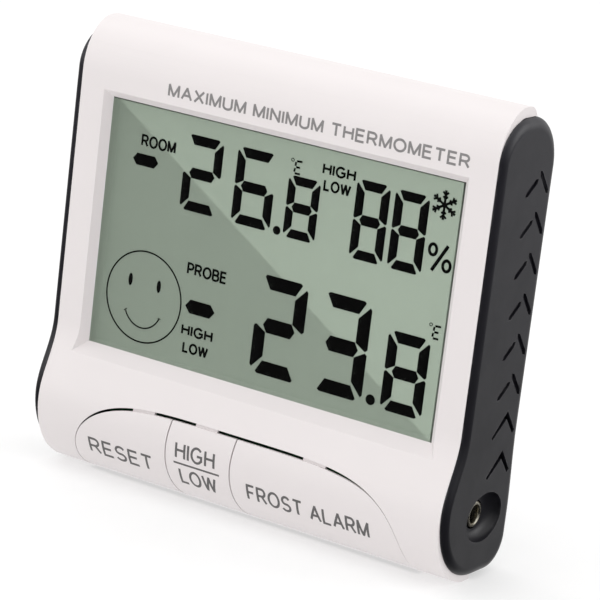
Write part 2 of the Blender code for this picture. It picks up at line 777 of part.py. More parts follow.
def back_holes():
    """The unit button's hole, the holes in front of the sounder and the vents."""
    through = (BACK_HOLE_Y, PAST_BACK_Y)
    holes = [
        rod("unit_hole", "Y", (UNIT_X, UNIT_Z), UNIT_R + GAP, through),
        rod("sound_hole", "Y", (BEEPER_X, BEEPER_Z), SOUND_R, through, TINY),
    ]
    for i in range(SOUND_HOLES):
        turn = 2 * math.pi * i / SOUND_HOLES
        x = BEEPER_X + SOUND_RING_R * math.cos(turn)
        z = BEEPER_Z + SOUND_RING_R * math.sin(turn)
        holes.append(rod("sound_hole", "Y", (x, z), SOUND_R, through, TINY))
    for i in range(VENTS):
        z = VENT_Z + VENT_PITCH * i
        low = (VENT_X[0], through[0], z)
        holes.append(box("vent", low, (VENT_X[1], through[1], z + VENT_WIDTH)))
    return holes


def screw_holes():
    holes = []
    for place in CASE_SCREWS:
        through = (PILLAR_Y - PAST, PAST_BACK_Y)
        holes.append(rod("screw_hole", "Y", place, CASE_HOLE_R, through, TINY))
        through = (COUNTERBORE_Y, PAST_BACK_Y)
        holes.append(rod("counterbore", "Y", place, COUNTERBORE_R, through, MEDIUM))
    return holes


def jack_holes():
    place = (JACK_Y, JACK_Z)
    through = (THROAT_START_X, CHEEK_HALF + PAST)
    throat = rod("jack_throat", "X", place, THROAT_R, through, LARGE)
    slope = (THROAT_X, CHEEK_HALF + FUNNEL_PAST)
    funnel = rod("jack_funnel", "X", place, THROAT_R, slope, LARGE, FUNNEL_R)
    for vertex in funnel.data.vertices:
        if vertex.co.x > CHEEK_HALF * MM:
            vertex.co.y += (vertex.co.y - JACK_Y * MM) * (FUNNEL_STRETCH - 1)
    return [throat, funnel]


def make_rear_shell(material):
    shell = prism("rear_shell", cheek_outline(0.0, 0.0), (-CHEEK_HALF, CHEEK_HALF))
    round_edges(shell, CHEEK_EDGE_R, 3, CHEEK_EDGE_ANGLE)
    inside = cheek_outline(BACK_WALL, BACK_WALL, CAVITY_FRONT_WALL)
    cavity = prism("cavity", inside, (-CAVITY_HALF, CAVITY_HALF))
    mouth = box(
        "mouth",
        (-CAVITY_HALF, MOUTH_FRONT_Y, MOUTH_Z[0]),
        (CAVITY_HALF, MOUTH_Y, MOUTH_Z[1]),
    )
    band = sleeve_band(-SLEEVE_ROOM, SHELL_WALL + GAP, BASE_BACK_Y + GAP, LIP_BACK_Y + GAP)
    sleeve_room = prism("sleeve_room", band, (-SHELL_HALF - GAP, SHELL_HALF + GAP))
    cut(shell, cavity, mouth, sleeve_room)
    join(shell, *inner_walls(), *make_feet())
    cut(shell, *screw_holes(), *battery_rooms(), *stand_rooms(), *keyhole_rooms())
    cut(shell, *back_holes(), *jack_holes(), make_grooves(-1), make_grooves(1))
    return publish(shell, material)


def make_key(name, web_x, plunger_x, ends, material, pill_material):
    """A key follows the bullnose; it turns about its web, near its top edge."""
    band = sleeve_band(0.0, KEY_WALL, BASE_BACK_Y, LIP_BACK_Y)
    key = prism(name, band, (-SHELL_HALF, SHELL_HALF))
    form = prism("key_form", key_outline(*ends), (KEY_FRONT_Y, KEY_END_Y), "XZ")
    keep_common(key, form)
    web = box(
        "web",
        (web_x - WEB_HALF, WEB_Y[0], WEB_Z[0]),
        (web_x + WEB_HALF, WEB_Y[1], WEB_Z[1]),
    )
    place = (plunger_x, PLUNGER_Z)
    plunger = rod("plunger", "Y", place, PLUNGER_R, PLUNGER_Y, SMALL)
    join(key, web, plunger)
    axis = (web_x, KEY_AXIS_Y, KEY_AXIS_Z)
    publish(set_origin(key, axis), material)
    pill = rod(name.replace("key", "contact_pill"), "Y", place, PILL_R, PILL_Y, SMALL)
    publish(set_origin(pill, axis), pill_material)


def make_keys(material, pill_material):
    half_gap = KEY_GAP / 2
    lefts = (-KEY_HALF, *(x + half_gap for x in KEY_SPLITS))
    rights = (*(x - half_gap for x in KEY_SPLITS), KEY_HALF)
    places = zip(KEY_NAMES, WEB_CENTRES, PLUNGER_CENTRES, zip(lefts, rights))
    for name, web_x, plunger_x, ends in places:
        make_key(name, web_x, plunger_x, ends, material, pill_material)


def holder_fittings():
    """The ears under the holder's screws, their necks and the clips that hold the board."""
    fittings = []
    for x, z in HOLDER_SCREWS:
        ear = (HOLDER_FLOOR_Y + EAR_STEP, HOLDER_Y[1] - EAR_STEP)
        fittings.append(rod("holder_ear", "Y", (x, z), EAR_R, ear, SMALL))
        low = (x - NECK_HALF, HOLDER_FLOOR_Y + OVERLAP, HOLDER_Z[1] - 1)
        high = (x + NECK_HALF, HOLDER_Y[1] - OVERLAP, z + EAR_STEP)
        fittings.append(box("holder_neck", low, high))
    for x in (-CLIP_X, CLIP_X):
        (half, low_z), (back_y, high_z) = CLIP_STEM
        low = (x - half, HOLDER_Y[1] - CLIP_STEM_ROOT, low_z)
        fittings.append(box("clip_stem", low, (x + half, back_y, high_z)))
        (half, low_z), (back_y, high_z) = CLIP_HOOK
        low = (x - half, BOARD_Y[1] + OVERLAP, low_z)
        fittings.append(box("clip_hook", low, (x + half, back_y, high_z)))
    return fittings


def make_display(clear, glass, frame_plastic, rubber):
    lens = box("lcd_lens", (-LENS_HALF, LENS_Y[0], LENS_Z[0]), (LENS_HALF, LENS_Y[1], LENS_Z[1]))
    publish(round_edges(lens, LENS_EDGE_R, 1), clear)
    panel = box("lcd_panel", (-LCD_HALF, LCD_Y[0], LCD_Z[0]), (LCD_HALF, LCD_Y[1], LCD_Z[1]))
    publish(panel, glass)
    holder = box(
        "lcd_holder",
        (-HOLDER_HALF, HOLDER_Y[0], HOLDER_Z[0]),
        (HOLDER_HALF, HOLDER_Y[1], HOLDER_Z[1]),
    )
    pocket = box(
        "lcd_pocket",
        (-LENS_HALF - GAP, HOLDER_Y[0] - PAST, HOLDER_POCKET_LOW_Z),
        (LENS_HALF + GAP, HOLDER_FLOOR_Y, LENS_Z[1] + GAP),
    )
    slot = box(
        "zebra_slot",
        (-ZEBRA_HALF - GAP, HOLDER_FLOOR_Y - PAST, ZEBRA_Z[0] - GAP),
        (ZEBRA_HALF + GAP, HOLDER_Y[1] + PAST, ZEBRA_Z[1] + GAP),
    )
    through = (HOLDER_FLOOR_Y - PAST, HOLDER_Y[1] + PAST)
    holes = [rod("ear_hole", "Y", place, POST_HOLE_R, through, TINY) for place in HOLDER_SCREWS]
    join(holder, *holder_fittings())
    cut(holder, pocket, slot, *holes)
    publish(holder, frame_plastic)
    zebra = box(
        "zebra_strip",
        (-ZEBRA_HALF, LCD_Y[1] + OVERLAP, ZEBRA_Z[0]),
        (ZEBRA_HALF, BOARD_Y[0] - OVERLAP, ZEBRA_Z[1]),
    )
    publish(zebra, rubber)


def make_sensor(plastic):
    low = (SENSOR_X[0], PARTS_Y, SENSOR_Z[0])
    top = PARTS_Y + SENSOR_HEIGHT
    sensor = box("humidity_sensor", low, (SENSOR_X[1], top, SENSOR_Z[1]))
    slots = []
    for i in range(SENSOR_SLOTS):
        z = SENSOR_SLOT_Z + SENSOR_SLOT_PITCH * i
        low = (SENSOR_SLOT_X[0], top - SENSOR_SLOT_DEPTH, z)
        high = (SENSOR_SLOT_X[1], top + PAST, z + SENSOR_SLOT_WIDTH)
        slots.append(box("sensor_slot", low, high))
    publish(cut(round_edges(sensor, PART_EDGE_R), *slots), plastic)


def make_board(board_green, epoxy, steel, sleeve, plastic):
    low = (-BOARD_HALF, BOARD_Y[0], BOARD_Z[0])
    board = box("circuit_board", low, (BOARD_HALF, BOARD_Y[1], BOARD_Z[1]))
    through = (BOARD_Y[0] - PAST, BOARD_Y[1] + PAST)
    holes = [rod("board_hole", "Y", place, POST_HOLE_R, through, TINY) for place in BOARD_SCREWS]
    publish(cut(board, *holes), board_green)

    span = (PARTS_Y, PARTS_Y + CHIP_HEIGHT)
    chip = rod("chip_blob", "Y", CHIP_PLACE, CHIP_RADII[0], span, LARGE, CHIP_RADII[1])
    publish(round_edges(chip, CHIP_EDGE_R, 2, CHIP_EDGE_ANGLE), epoxy)
    place = (CRYSTAL_X, PARTS_Y + CRYSTAL_R)
    crystal = rod("crystal", "Z", place, CRYSTAL_R, CRYSTAL_Z, SMALL)
    publish(round_edges(crystal, SMALL_EDGE_R, 2), steel)
    make_sensor(plastic)
    bead = rod("thermistor", "Z", (BEAD_X, PARTS_Y + BEAD_LIFT), BEAD_R, BEAD_Z, TINY)
    publish(round_edges(bead, PART_EDGE_R, 2), epoxy)
    span = (PARTS_Y, PARTS_Y + CAPACITOR_HEIGHT)
    capacitor = rod("capacitor", "Y", CAPACITOR_PLACE, CAPACITOR_R, span, MEDIUM)
    publish(round_edges(capacitor, SMALL_EDGE_R, 2), sleeve)


def make_jack(plastic, steel):
    place = (JACK_Y, JACK_Z)
    half_y, half_z = JACK_BODY_HALF
    low = (JACK_BODY_X[0], JACK_Y - half_y, JACK_Z - half_z)
    jack = box("probe_jack", low, (JACK_BODY_X[1], JACK_Y + half_y, JACK_Z + half_z))
    span = (JACK_BORE_X, JACK_BODY_X[1] + PAST)
    bore = rod("jack_bore", "X", place, JACK_BORE_R, span, MEDIUM)
    publish(cut(round_edges(jack, SMALL_EDGE_R, 1), bore), plastic)
    ring = rod("jack_ring", "X", place, RING_R, RING_X, LARGE)
    span = (RING_X[0] - PAST, RING_X[1] + PAST)
    bore = rod("ring_bore", "X", place, JACK_BORE_R, span, LARGE)
    publish(cut(round_edges(ring, RING_EDGE_R, 2), bore), steel)


def make_unit_button(plastic):
    """The button on the back, and the switch on the board that it presses."""
    place = (UNIT_X, UNIT_Z)
    low = (UNIT_X - SWITCH_HALF, PARTS_Y, UNIT_Z - SWITCH_HALF)
    high = (UNIT_X + SWITCH_HALF, PARTS_Y + SWITCH_HEIGHT, UNIT_Z + SWITCH_HALF)
    switch = box("unit_switch", low, high)
    stem_y = PARTS_Y + SWITCH_STEM_HEIGHT
    stem = rod("switch_stem", "Y", place, SWITCH_STEM_R, (high[1] - OVERLAP, stem_y), SMALL)
    publish(join(switch, stem), plastic)
    button = rod("unit_button", "Y", place, UNIT_R, (UNIT_FRONT_Y, BACK_Y - UNIT_RECESS))
    flange = rod("button_flange", "Y", place, UNIT_FLANGE_R, UNIT_FLANGE_Y)
    span = (stem_y + UNIT_TRAVEL + GAP, UNIT_POST_END_Y)
    post = rod("button_post", "Y", place, UNIT_POST_R, span, SMALL)
    join(round_edges(button, SMALL_EDGE_R, 1), flange, post)
    publish(set_origin(button, (UNIT_X, BACK_Y, UNIT_Z)), plastic)


def round_wire(name, points, radius, material):
    curve = bpy.data.curves.new(name, "CURVE")
    curve.dimensions = "3D"
    curve.bevel_depth = radius * MM
    curve.bevel_resolution = 2
    curve.use_fill_caps = True
    spline = curve.splines.new("POLY")
    spline.points.add(len(points) - 1)
    for point, place in zip(spline.points, points):
        point.co = (*(Vector(place) * MM), 1.0)
    obj = bpy.data.objects.new(name, curve)
    PARTS.objects.link(obj)
    curve.materials.append(material)
    return obj


def smooth_route(corners):
    """A smooth curve through the corners, by Catmull-Rom segments."""
    corners = [Vector(corner) for corner in corners]
    ends = [corners[0] * 2 - corners[1]] + corners + [corners[-1] * 2 - corners[-2]]
    route = []
    for a, b, c, d in zip(ends, ends[1:], ends[2:], ends[3:]):
        bend = 2 * a - 5 * b + 4 * c - d
        twist = 3 * b - a - 3 * c + d
        for i in range(ROUTE_STEPS):
            t = i / ROUTE_STEPS
            route.append((2 * b + (c - a) * t + bend * t**2 + twist * t**3) / 2)
    return route + [corners[-1]]


def make_sounder(brass, wire_materials):
    place = (BEEPER_X, BEEPER_Z)
    publish(rod("beeper_disc", "Y", place, BEEPER_R, BEEPER_Y, LARGE), brass)
    for i, (z, material) in enumerate(zip(BEEPER_WIRE_Z, wire_materials), 1):
        corners = [(BEEPER_X + dx, y, z + dz) for dx, y, dz in BEEPER_WIRE_STEPS]
        round_wire(f"wire_beeper_{i}", smooth_route(corners), BEEPER_WIRE_R, material)


def make_contacts(steel):
    """Two contact plates, each with a tail through the bay's wall, and the spring."""
    low_z, high_z = CONTACT_Z
    plate = [(CONTACT_Y[0], low_z), (TAIL_Y[0], low_z), (TAIL_Y[0], TAIL_Z), (TAIL_Y[1], TAIL_Z)]
    plate += [(TAIL_Y[1], low_z), (CONTACT_Y[1], low_z), (CONTACT_Y[1], high_z), (CONTACT_Y[0], high_z)]
    publish(prism("battery_contact_plus", plate, PLUS_X), steel)
    publish(prism("battery_contact_minus", plate, MINUS_X), steel)
    last_x = CELL_X[0] - SPRING_WIRE_R - GAP
    steps = int(SPRING_TURNS * SPRING_STEPS)
    coil = []
    for i in range(steps + 1):
        share = i / steps
        angle = 2 * math.pi * i / SPRING_STEPS
        radius = SPRING_RADII[0] + (SPRING_RADII[1] - SPRING_RADII[0]) * share
        x = SPRING_START_X + (last_x - SPRING_START_X) * share
        coil.append((x, CELL_Y + radius * math.cos(angle), CELL_Z + radius * math.sin(angle)))
    round_wire("battery_spring", coil, SPRING_WIRE_R, steel)


def make_cell(cell_material, wire_materials):
    place = (CELL_Y, CELL_Z)
    cell = rod("battery_aaa", "X", place, CELL_R, CELL_X, LARGE)
    span = (CELL_X[1] - 1, CELL_X[1] + NUB_LENGTH)
    nub = rod("battery_nub", "X", place, NUB_R, span, SMALL)
    publish(join(round_edges(cell, CELL_EDGE_R, 2), nub), cell_material)
    route = BATTERY_WIRE_HEAD + BATTERY_WIRE_TAIL
    names = ("wire_battery_plus", "wire_battery_minus")
    for name, places, material in zip(names, (PLUS_WIRE_X, MINUS_WIRE_X), wire_materials):
        corners = [(x, y, z) for x, (y, z) in zip(places, route)]
        round_wire(name, smooth_route(corners), BATTERY_WIRE_R, material)


def make_door(dark):
    door = box("battery_door", (-DOOR_HALF, DOOR_Y, DOOR_Z[0]), (DOOR_HALF, BACK_Y, DOOR_Z[1]))
    root_y = DOOR_Y + DOOR_ROOT_RISE
    extras = []
    for z in DOOR_TAB_STARTS:
        low = (DOOR_TAB_X[0], DOOR_Y + DOOR_TAB_Y[0], z)
        high = (DOOR_TAB_X[1], DOOR_Y + DOOR_TAB_Y[1], z + DOOR_TAB_WIDTH)
        extras.append(box("door_tab", low, high))
        low = (DOOR_TAB_ROOT_X[0], DOOR_Y + DOOR_TAB_ROOT_Y, z + OVERLAP)
        high = (DOOR_TAB_ROOT_X[1], root_y, z + DOOR_TAB_WIDTH - OVERLAP)
        extras.append(box("door_tab_root", low, high))
    low = (DOOR_LATCH_X[0], DOOR_Y - DOOR_LATCH_LENGTH, DOOR_LATCH_Z[0])
    extras.append(box("door_latch", low, (DOOR_LATCH_X[1], root_y, DOOR_LATCH_Z[1])))
    ridges = []
    for i in range(RIDGES):
        x = RIDGE_X + RIDGE_PITCH * i
        low = (x, BACK_Y - RIDGE_DEPTH, RIDGE_Z[0])
        ridges.append(box("door_ridge", low, (x + RIDGE_WIDTH, PAST_BACK_Y, RIDGE_Z[1])))
    join(round_edges(door, DOOR_EDGE_R, 1), *extras)
    cut(door, *ridges)
    publish(set_origin(door, (-DOOR_HALF, BACK_Y, sum(DOOR_Z) / 2)), dark)


def make_stand(dark):
    stand = box("stand", (-STAND_HALF, STAND_Y, STAND_Z[0]), (STAND_HALF, BACK_Y, STAND_Z[1]))
    round_edges(stand, STAND_EDGE_R, 2)
    axis = (STAND_AXIS_Y, STAND_AXIS_Z)
    pin = rod("stand_pin", "X", axis, PIN_R, (-PIN_END, PIN_END), SMALL)
    panel = box(
        "stand_panel",
        (-STAND_PANEL_HALF, BACK_Y - STAND_PANEL_DEPTH, STAND_PANEL_Z[0]),
        (STAND_PANEL_HALF, PAST_BACK_Y, STAND_PANEL_Z[1]),
    )
    join(stand, pin)
    cut(stand, panel)
    publish(set_origin(stand, (0, *axis)), dark)


def make_screw(name, place, head_y, shaft, head, steel):
    """A pan-head screw along Y, driven from the back, with a cross recess."""
    x, z = place
    shaft_r, tip_y = shaft
    head_r, head_height = head
    top = head_y + head_height
    screw = rod(name, "Y", place, head_r, (head_y, top), MEDIUM)
    round_edges(screw, HEAD_EDGE_R, 2, HEAD_EDGE_ANGLE)
    body = rod("shaft", "Y", place, shaft_r, (tip_y, head_y + OVERLAP), TINY)
    cross = []
    reach = head_r * CROSS_REACH
    for half_x, half_z in ((reach, CROSS_HALF), (CROSS_HALF, reach)):
        low = (x - half_x, top - CROSS_DEPTH, z - half_z)
        cross.append(box("cross", low, (x + half_x, top + PAST, z + half_z)))
    join(screw, body)
    cut(screw, *cross)
    publish(screw, steel)


def make_screws(steel):
    groups = (
        ("case_screw", CASE_SCREWS, COUNTERBORE_Y, CASE_SHAFT, CASE_HEAD),
        ("board_screw", BOARD_SCREWS, BOARD_Y[1], BOARD_SHAFT, SMALL_HEAD),
        ("holder_screw", HOLDER_SCREWS, HOLDER_Y[1], HOLDER_SHAFT, SMALL_HEAD),
    )
    for name, places, seat_y, shaft, head in groups:
        for i, place in enumerate(places, 1):
            make_screw(f"{name}_{i}", place, seat_y + GAP, shaft, head, steel)


def main():
    white = make_material("warm_white_plastic", (0.80, 0.76, 0.75), 0.42)
    dark = make_material("charcoal_plastic", (0.055, 0.052, 0.055), 0.6)
    clear = make_material("clear_lens", (0.9, 0.95, 0.92), 0.05, alpha=0.3)
    glass = make_material("lcd_glass", (0.30, 0.35, 0.28), 0.15)
    natural = make_material("natural_plastic", (0.6, 0.6, 0.58), 0.5)
    rubber = make_material("grey_rubber", (0.12, 0.12, 0.12), 0.8)
    board = make_material("board_green", (0.05, 0.22, 0.09), 0.45)
    epoxy = make_material("black_epoxy", (0.02, 0.02, 0.02), 0.3)
    steel = make_material("plated_steel", (0.62, 0.61, 0.58), 0.3, 1.0)
    brass = make_material("brass", (0.72, 0.55, 0.25), 0.35, 1.0)
    cell = make_material("cell_label", (0.10, 0.22, 0.30), 0.35, 0.4)
    sleeve = make_material("capacitor_sleeve", (0.05, 0.06, 0.12), 0.4)
    red = make_material("wire_red", (0.55, 0.03, 0.03), 0.5)
    black = make_material("wire_black", (0.02, 0.02, 0.02), 0.5)
    make_front_shell(white)
    make_rear_shell(dark)
    make_keys(white, rubber)
    make_display(clear, glass, natural, rubber)
    make_board(board, epoxy, steel, sleeve, dark)
    make_jack(dark, steel)
    make_unit_button(dark)
    make_sounder(brass, (red, black))
    make_contacts(steel)
    make_cell(cell, (red, black))
    make_door(dark)
    make_stand(dark)
    make_screws(steel)


main()
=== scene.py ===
"""Looks of the maximum-minimum thermometer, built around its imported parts.

Frame: +X to the right as seen from the front, +Y to the back, +Z up. Lengths are in millimetres;
the helpers turn them into metres.
"""

import json
import math

import bmesh
import bpy
from mathutils import Matrix, Vector


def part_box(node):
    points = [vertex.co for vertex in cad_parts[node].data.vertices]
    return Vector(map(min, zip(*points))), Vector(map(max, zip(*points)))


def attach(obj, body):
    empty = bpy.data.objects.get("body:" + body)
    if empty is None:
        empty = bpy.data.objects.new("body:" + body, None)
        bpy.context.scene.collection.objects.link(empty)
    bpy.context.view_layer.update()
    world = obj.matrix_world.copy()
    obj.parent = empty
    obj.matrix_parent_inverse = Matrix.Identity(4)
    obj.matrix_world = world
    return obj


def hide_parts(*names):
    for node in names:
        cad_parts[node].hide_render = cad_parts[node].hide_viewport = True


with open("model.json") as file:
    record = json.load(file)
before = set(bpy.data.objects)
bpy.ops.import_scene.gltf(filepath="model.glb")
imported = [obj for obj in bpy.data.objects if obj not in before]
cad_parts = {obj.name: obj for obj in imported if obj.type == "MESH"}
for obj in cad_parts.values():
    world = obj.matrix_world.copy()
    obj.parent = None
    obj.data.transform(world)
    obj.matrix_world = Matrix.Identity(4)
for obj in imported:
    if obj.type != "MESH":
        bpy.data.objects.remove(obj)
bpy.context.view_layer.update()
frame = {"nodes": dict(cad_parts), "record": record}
NODES = frame["nodes"]
MM = 0.001


def span(node):
    """A node's lowest and highest corners, in millimetres."""
    low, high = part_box(node)
    return Vector(low) / MM, Vector(high) / MM


SHELL_LOW, SHELL_HIGH = span("front_shell")
REAR_HIGH = span("rear_shell")[1]
LENS_LOW, LENS_HIGH = span("lcd_lens")
PANEL_LOW, PANEL_HIGH = span("lcd_panel")
STAND_LOW, STAND_HIGH = span("stand")
RING_LOW, RING_HIGH = span("jack_ring")
CELL_LOW, CELL_HIGH = span("battery_aaa")
BUTTON_LOW, BUTTON_HIGH = span("unit_button")

# Sleeve: the profile of the front shell in YZ, with a round nose low down and an oval crown on top.
SHELL_HALF = SHELL_HIGH.x
SHELL_WALL = 2.0
FRONT_Y = -8.95
BULLNOSE_R = 14.54
BULLNOSE_Y = SHELL_LOW.y + BULLNOSE_R
BULLNOSE_Z = 14.34
BLEND_TOP_Z = 30.8
CROWN_Y = -0.5
CROWN_RY = 8.45
CROWN_RZ = 10.65
CROWN_Z = SHELL_HIGH.z - CROWN_RZ
LIP_R = 3.0
LIP_BACK_Y = SHELL_HIGH.y
BASE_BACK_Y = 1.9
END_R = 1.3

# Rear shell: the D outline of its cheeks, as arc centres with their radii.
CHEEK_HALF = REAR_HIGH.x
CHEEK_LOW = (1.88, 15.76, 14.7)
CHEEK_BLEND_TOP_Z = 31.0
CHEEK_CROWN = (0.0, 83.0, 8.9, 8.1)
BACK_Y = span("battery_door")[1].y
BACK_TOP = (2.3, 81.0, 9.7, 10.1)
BACK_LOW = (6.5, 7.5, REAR_HIGH.y - 6.5)
BACK_BULGE_Z = 11.0
BACK_BLEND_TOP_Z = 30.0
BACK_WALL = 2.0
CAVITY_HALF = 46.0
# How far the left and the right cheek are crowned: depth, then front, back, top and low widths.
CHEEK_CROWNS = ((0.7, (0.4, 2.2, 0.9, 1.0)), (1.6, (1.6, 2.2, 2.4, 2.0)))
CROWN_STEPS = 8

# Gaps between pieces, and planes well outside the case for cutters.
GAP = 0.3
SEAM = 0.07
BEFORE_Y = -16.0
PAST_Y = BACK_Y + 2.0

CASE_SCREWS = []
for number in range(1, 5):
    screw_low, screw_high = span(f"case_screw_{number}")
    CASE_SCREWS.append(((screw_low.x + screw_high.x) / 2, (screw_low.z + screw_high.z) / 2))

# Window.
WINDOW_HALF = 40.66
WINDOW_Z = (27.56, 78.16)
WINDOW_BEVEL = 1.4
WINDOW_DEPTH_Y = LENS_LOW.y - GAP
WINDOW_ROUNDING = 0.5

# Keys: one arched row, split by two bowed gaps.
KEY_HALF = 39.4
KEY_TOP_Z = 18.9
KEY_POWERS = (4.5, 2.65)
KEY_SPLITS = (-14.9, 0.65)
KEY_SPLIT_BOW = 0.8
KEY_END_Y = -3.7
KEY_INSET = 0.05
KEY_SKIN = 0.6
RIM_REACH = 1.2
TOP_GAP = 0.52
TOP_GAP_LEAST = 0.08
SIDE_GAP = 0.15
# Each key's left and right end, and the middles of its web and its plunger.
KEYS = {
    "key_clear": (-KEY_HALF, KEY_SPLITS[0], -22.1, -27.0),
    "key_max_min": (KEY_SPLITS[0], KEY_SPLITS[1], -6.9, -7.2),
    "key_alarm": (KEY_SPLITS[1], KEY_HALF, 18.5, 19.8),
}
WEB_HALF = 2.6
WEB_DEPTH = 0.42
WEB_THICK = 0.7
WEB_TOP_Z = 20.9
WEB_REACH = 3.4
WEB_GAP = 0.2
WEB_POCKET_Z = 16.0
PLUNGER_Z = 10.5
PLUNGER_R = 2.2
PLUNGER_BACK_Y = -4.5

# Bosses and posts inside the front shell: outer and hole radii, and places in XZ.
BOSS_RADII = (2.8, 1.25)
BOSS_END_Y = 0.7
POST_RADII = (2.1, 1.1)
BOARD_POST = (34.0, 22.4)
BOARD_FRONT_Y = -1.9
HOLDER_POST = (22.0, 84.2)
HOLDER_FLOOR_Y = -3.8
HIGH_ROOT_Y = FRONT_Y + 1.0
LOW_ROOT_Y = FRONT_Y - 0.75

# Jack: a throat behind an oval dish.
JACK_Y = (RING_LOW.y + RING_HIGH.y) / 2
JACK_Z = (RING_LOW.z + RING_HIGH.z) / 2
THROAT_R = 2.95
DISH_R = 4.95
DISH_STRETCH = 1.35
DISH_STEPS = 14

# Chevron grooves in the cheeks: places in YZ from the row's low front corner.
GROOVE_START = (0.8, 76.2)
GROOVE_PITCH = 7.93
GROOVE_ROWS = 8
GROOVE_WHOLE = 2
GROOVE_WIDTH = 1.1
GROOVE_SHALLOW = 0.55
GROOVE_DEEP = 1.7
GROOVE_FRONT = ((0.2, 0.0), (4.3, 2.85))
GROOVE_REAR = ((5.0, 4.35), (8.8, -0.2))
GROOVE_CHEVRON = (
    (0.0, 0.35), (0.55, -0.2), (5.2, 3.25), (8.2, -0.15), (8.9, 0.5), (5.35, 4.9),
)

# Battery bay and door.
BAY_X = (-25.8, 27.4)
BAY_Z = (48.5, 60.5)
BAY_Y = -0.7
BAY_WALL = 1.8
DOOR_HALF = 27.0
DOOR_Z = (47.1, 61.9)
DOOR_THICK = 1.5
DOOR_SEAT_Y = BACK_Y - DOOR_THICK - GAP
TAB_END_X = -29.0
TAB_ROOM_DEPTH = 1.8
DOOR_FINGER = (DOOR_HALF + 4.2, BACK_Y + 3.6, 5.2)
DOOR_FINGER_Z = (51.5, 57.5)
TAB_PLACES_Z = (51.0, 55.8)
TAB_HIGH = 2.2
RIDGE_COUNT = 5
RIDGE_X = 17.2
RIDGE_PITCH = 1.6
RIDGE_WIDTH = 0.7
RIDGE_DEPTH = 0.35
RIDGE_Z = (50.5, 58.5)
ARROW = ((11.0, 52.6), (14.2, 54.5), (11.0, 56.4))
ARROW_DEPTH = 0.25
TAIL_PLACES_X = (-25.3, 26.45)
TAIL_HALF = 0.6

# Stand and its niche.
STAND_HALF = 14.7
STAND_THICK = 1.9
STAND_PANEL_HALF = 10.5
STAND_PANEL_Z = (13.5, 37.0)
PIN_HALF = 16.0
PIN_R = 0.7
PIN_ROOM = (PIN_HALF + GAP, PIN_R + GAP)
STAND_FINGER = (BACK_Y + 2.6, 7.6, 4.2)
STAND_FINGER_HALF = 6.0
NICHE_BACK_HALF = 17.8
NICHE_BACK_Z = (6.0, 46.0)
NICHE_BACK_THICK = 1.4
STAND_AXIS = (BACK_Y - 1.4, 42.5)
NICHE_FLOOR_Y = BACK_Y - 2.4

# Keyhole for a wall screw, with a pocket behind it.
KEYHOLE_Z = 73.0
KEYHOLE_R = 3.5
SLOT_R = 1.9
SLOT_TOP_Z = 79.5
HOOK_ROOM_HALF = 5.0
HOOK_ROOM_Y = 5.2
HOOK_ROOM_Z = (KEYHOLE_Z - 4.0, SLOT_TOP_Z + 2.6)
HOOK_POCKET_HALF = 6.8
HOOK_WALL = 1.6

# Pillars for the case screws, sounder holes, vents, unit button and feet.
PILLAR_R = 3.4
PILLAR_Y = 1.0
SCREW_HOLE_R = 1.4
COUNTERBORE_R = 2.6
COUNTERBORE_Y = 3.2
HOLES_START_Y = 8.0
BEEPER = (-30.5, 30.0)
BEEPER_RING_R = 3.0
SOUND_HOLE_R = 0.8
VENT_COUNT = 4
VENT_X = (-37.0, -23.0)
VENT_Z = 10.0
VENT_PITCH = 2.6
VENT_WIDTH = 1.2
UNIT_X = (BUTTON_LOW.x + BUTTON_HIGH.x) / 2
UNIT_Z = (BUTTON_LOW.z + BUTTON_HIGH.z) / 2
UNIT_R = 2.4
FOOT_X = 30.0
FOOT_HALF = (8.0, 2.25)
FOOT_Y = 6.0
FOOT_HIGH = 2.0


# ---------------------------------------------------------------- mesh helpers


def add_object(name, mesh):
    obj = bpy.data.objects.new(name, mesh)
    bpy.context.scene.collection.objects.link(obj)
    return obj


def from_bmesh(name, shape):
    bmesh.ops.recalc_face_normals(shape, faces=shape.faces)
    mesh = bpy.data.meshes.new(name)
    shape.to_mesh(mesh)
    shape.free()
    return add_object(name, mesh)


def box(name, low, high):
    low, high = Vector(low) * MM, Vector(high) * MM
    shape = bmesh.new()
    place = Matrix.Translation((low + high) / 2) @ Matrix.Diagonal((*(high - low), 1.0))
    bmesh.ops.create_cube(shape, size=1.0, matrix=place)
    return from_bmesh(name, shape)


def rod(name, axis, centre, radius, ends, segments=48, end_radius=None):
    """A cylinder or cone along one axis; ends is its first and last place on that axis."""
    turn = {"X": Matrix.Rotation(math.pi / 2, 4, "Y"), "Y": Matrix.Rotation(-math.pi / 2, 4, "X")}
    middle = list(centre)
    middle.insert("XYZ".index(axis), sum(ends) / 2)
    shape = bmesh.new()
    bmesh.ops.create_cone(
        shape,
        cap_ends=True,
        segments=segments,
        radius1=radius * MM,
        radius2=(radius if end_radius is None else end_radius) * MM,
        depth=(ends[1] - ends[0]) * MM,
        matrix=Matrix.Translation(Vector(middle) * MM) @ turn.get(axis, Matrix()),
    )
    return from_bmesh(name, shape)


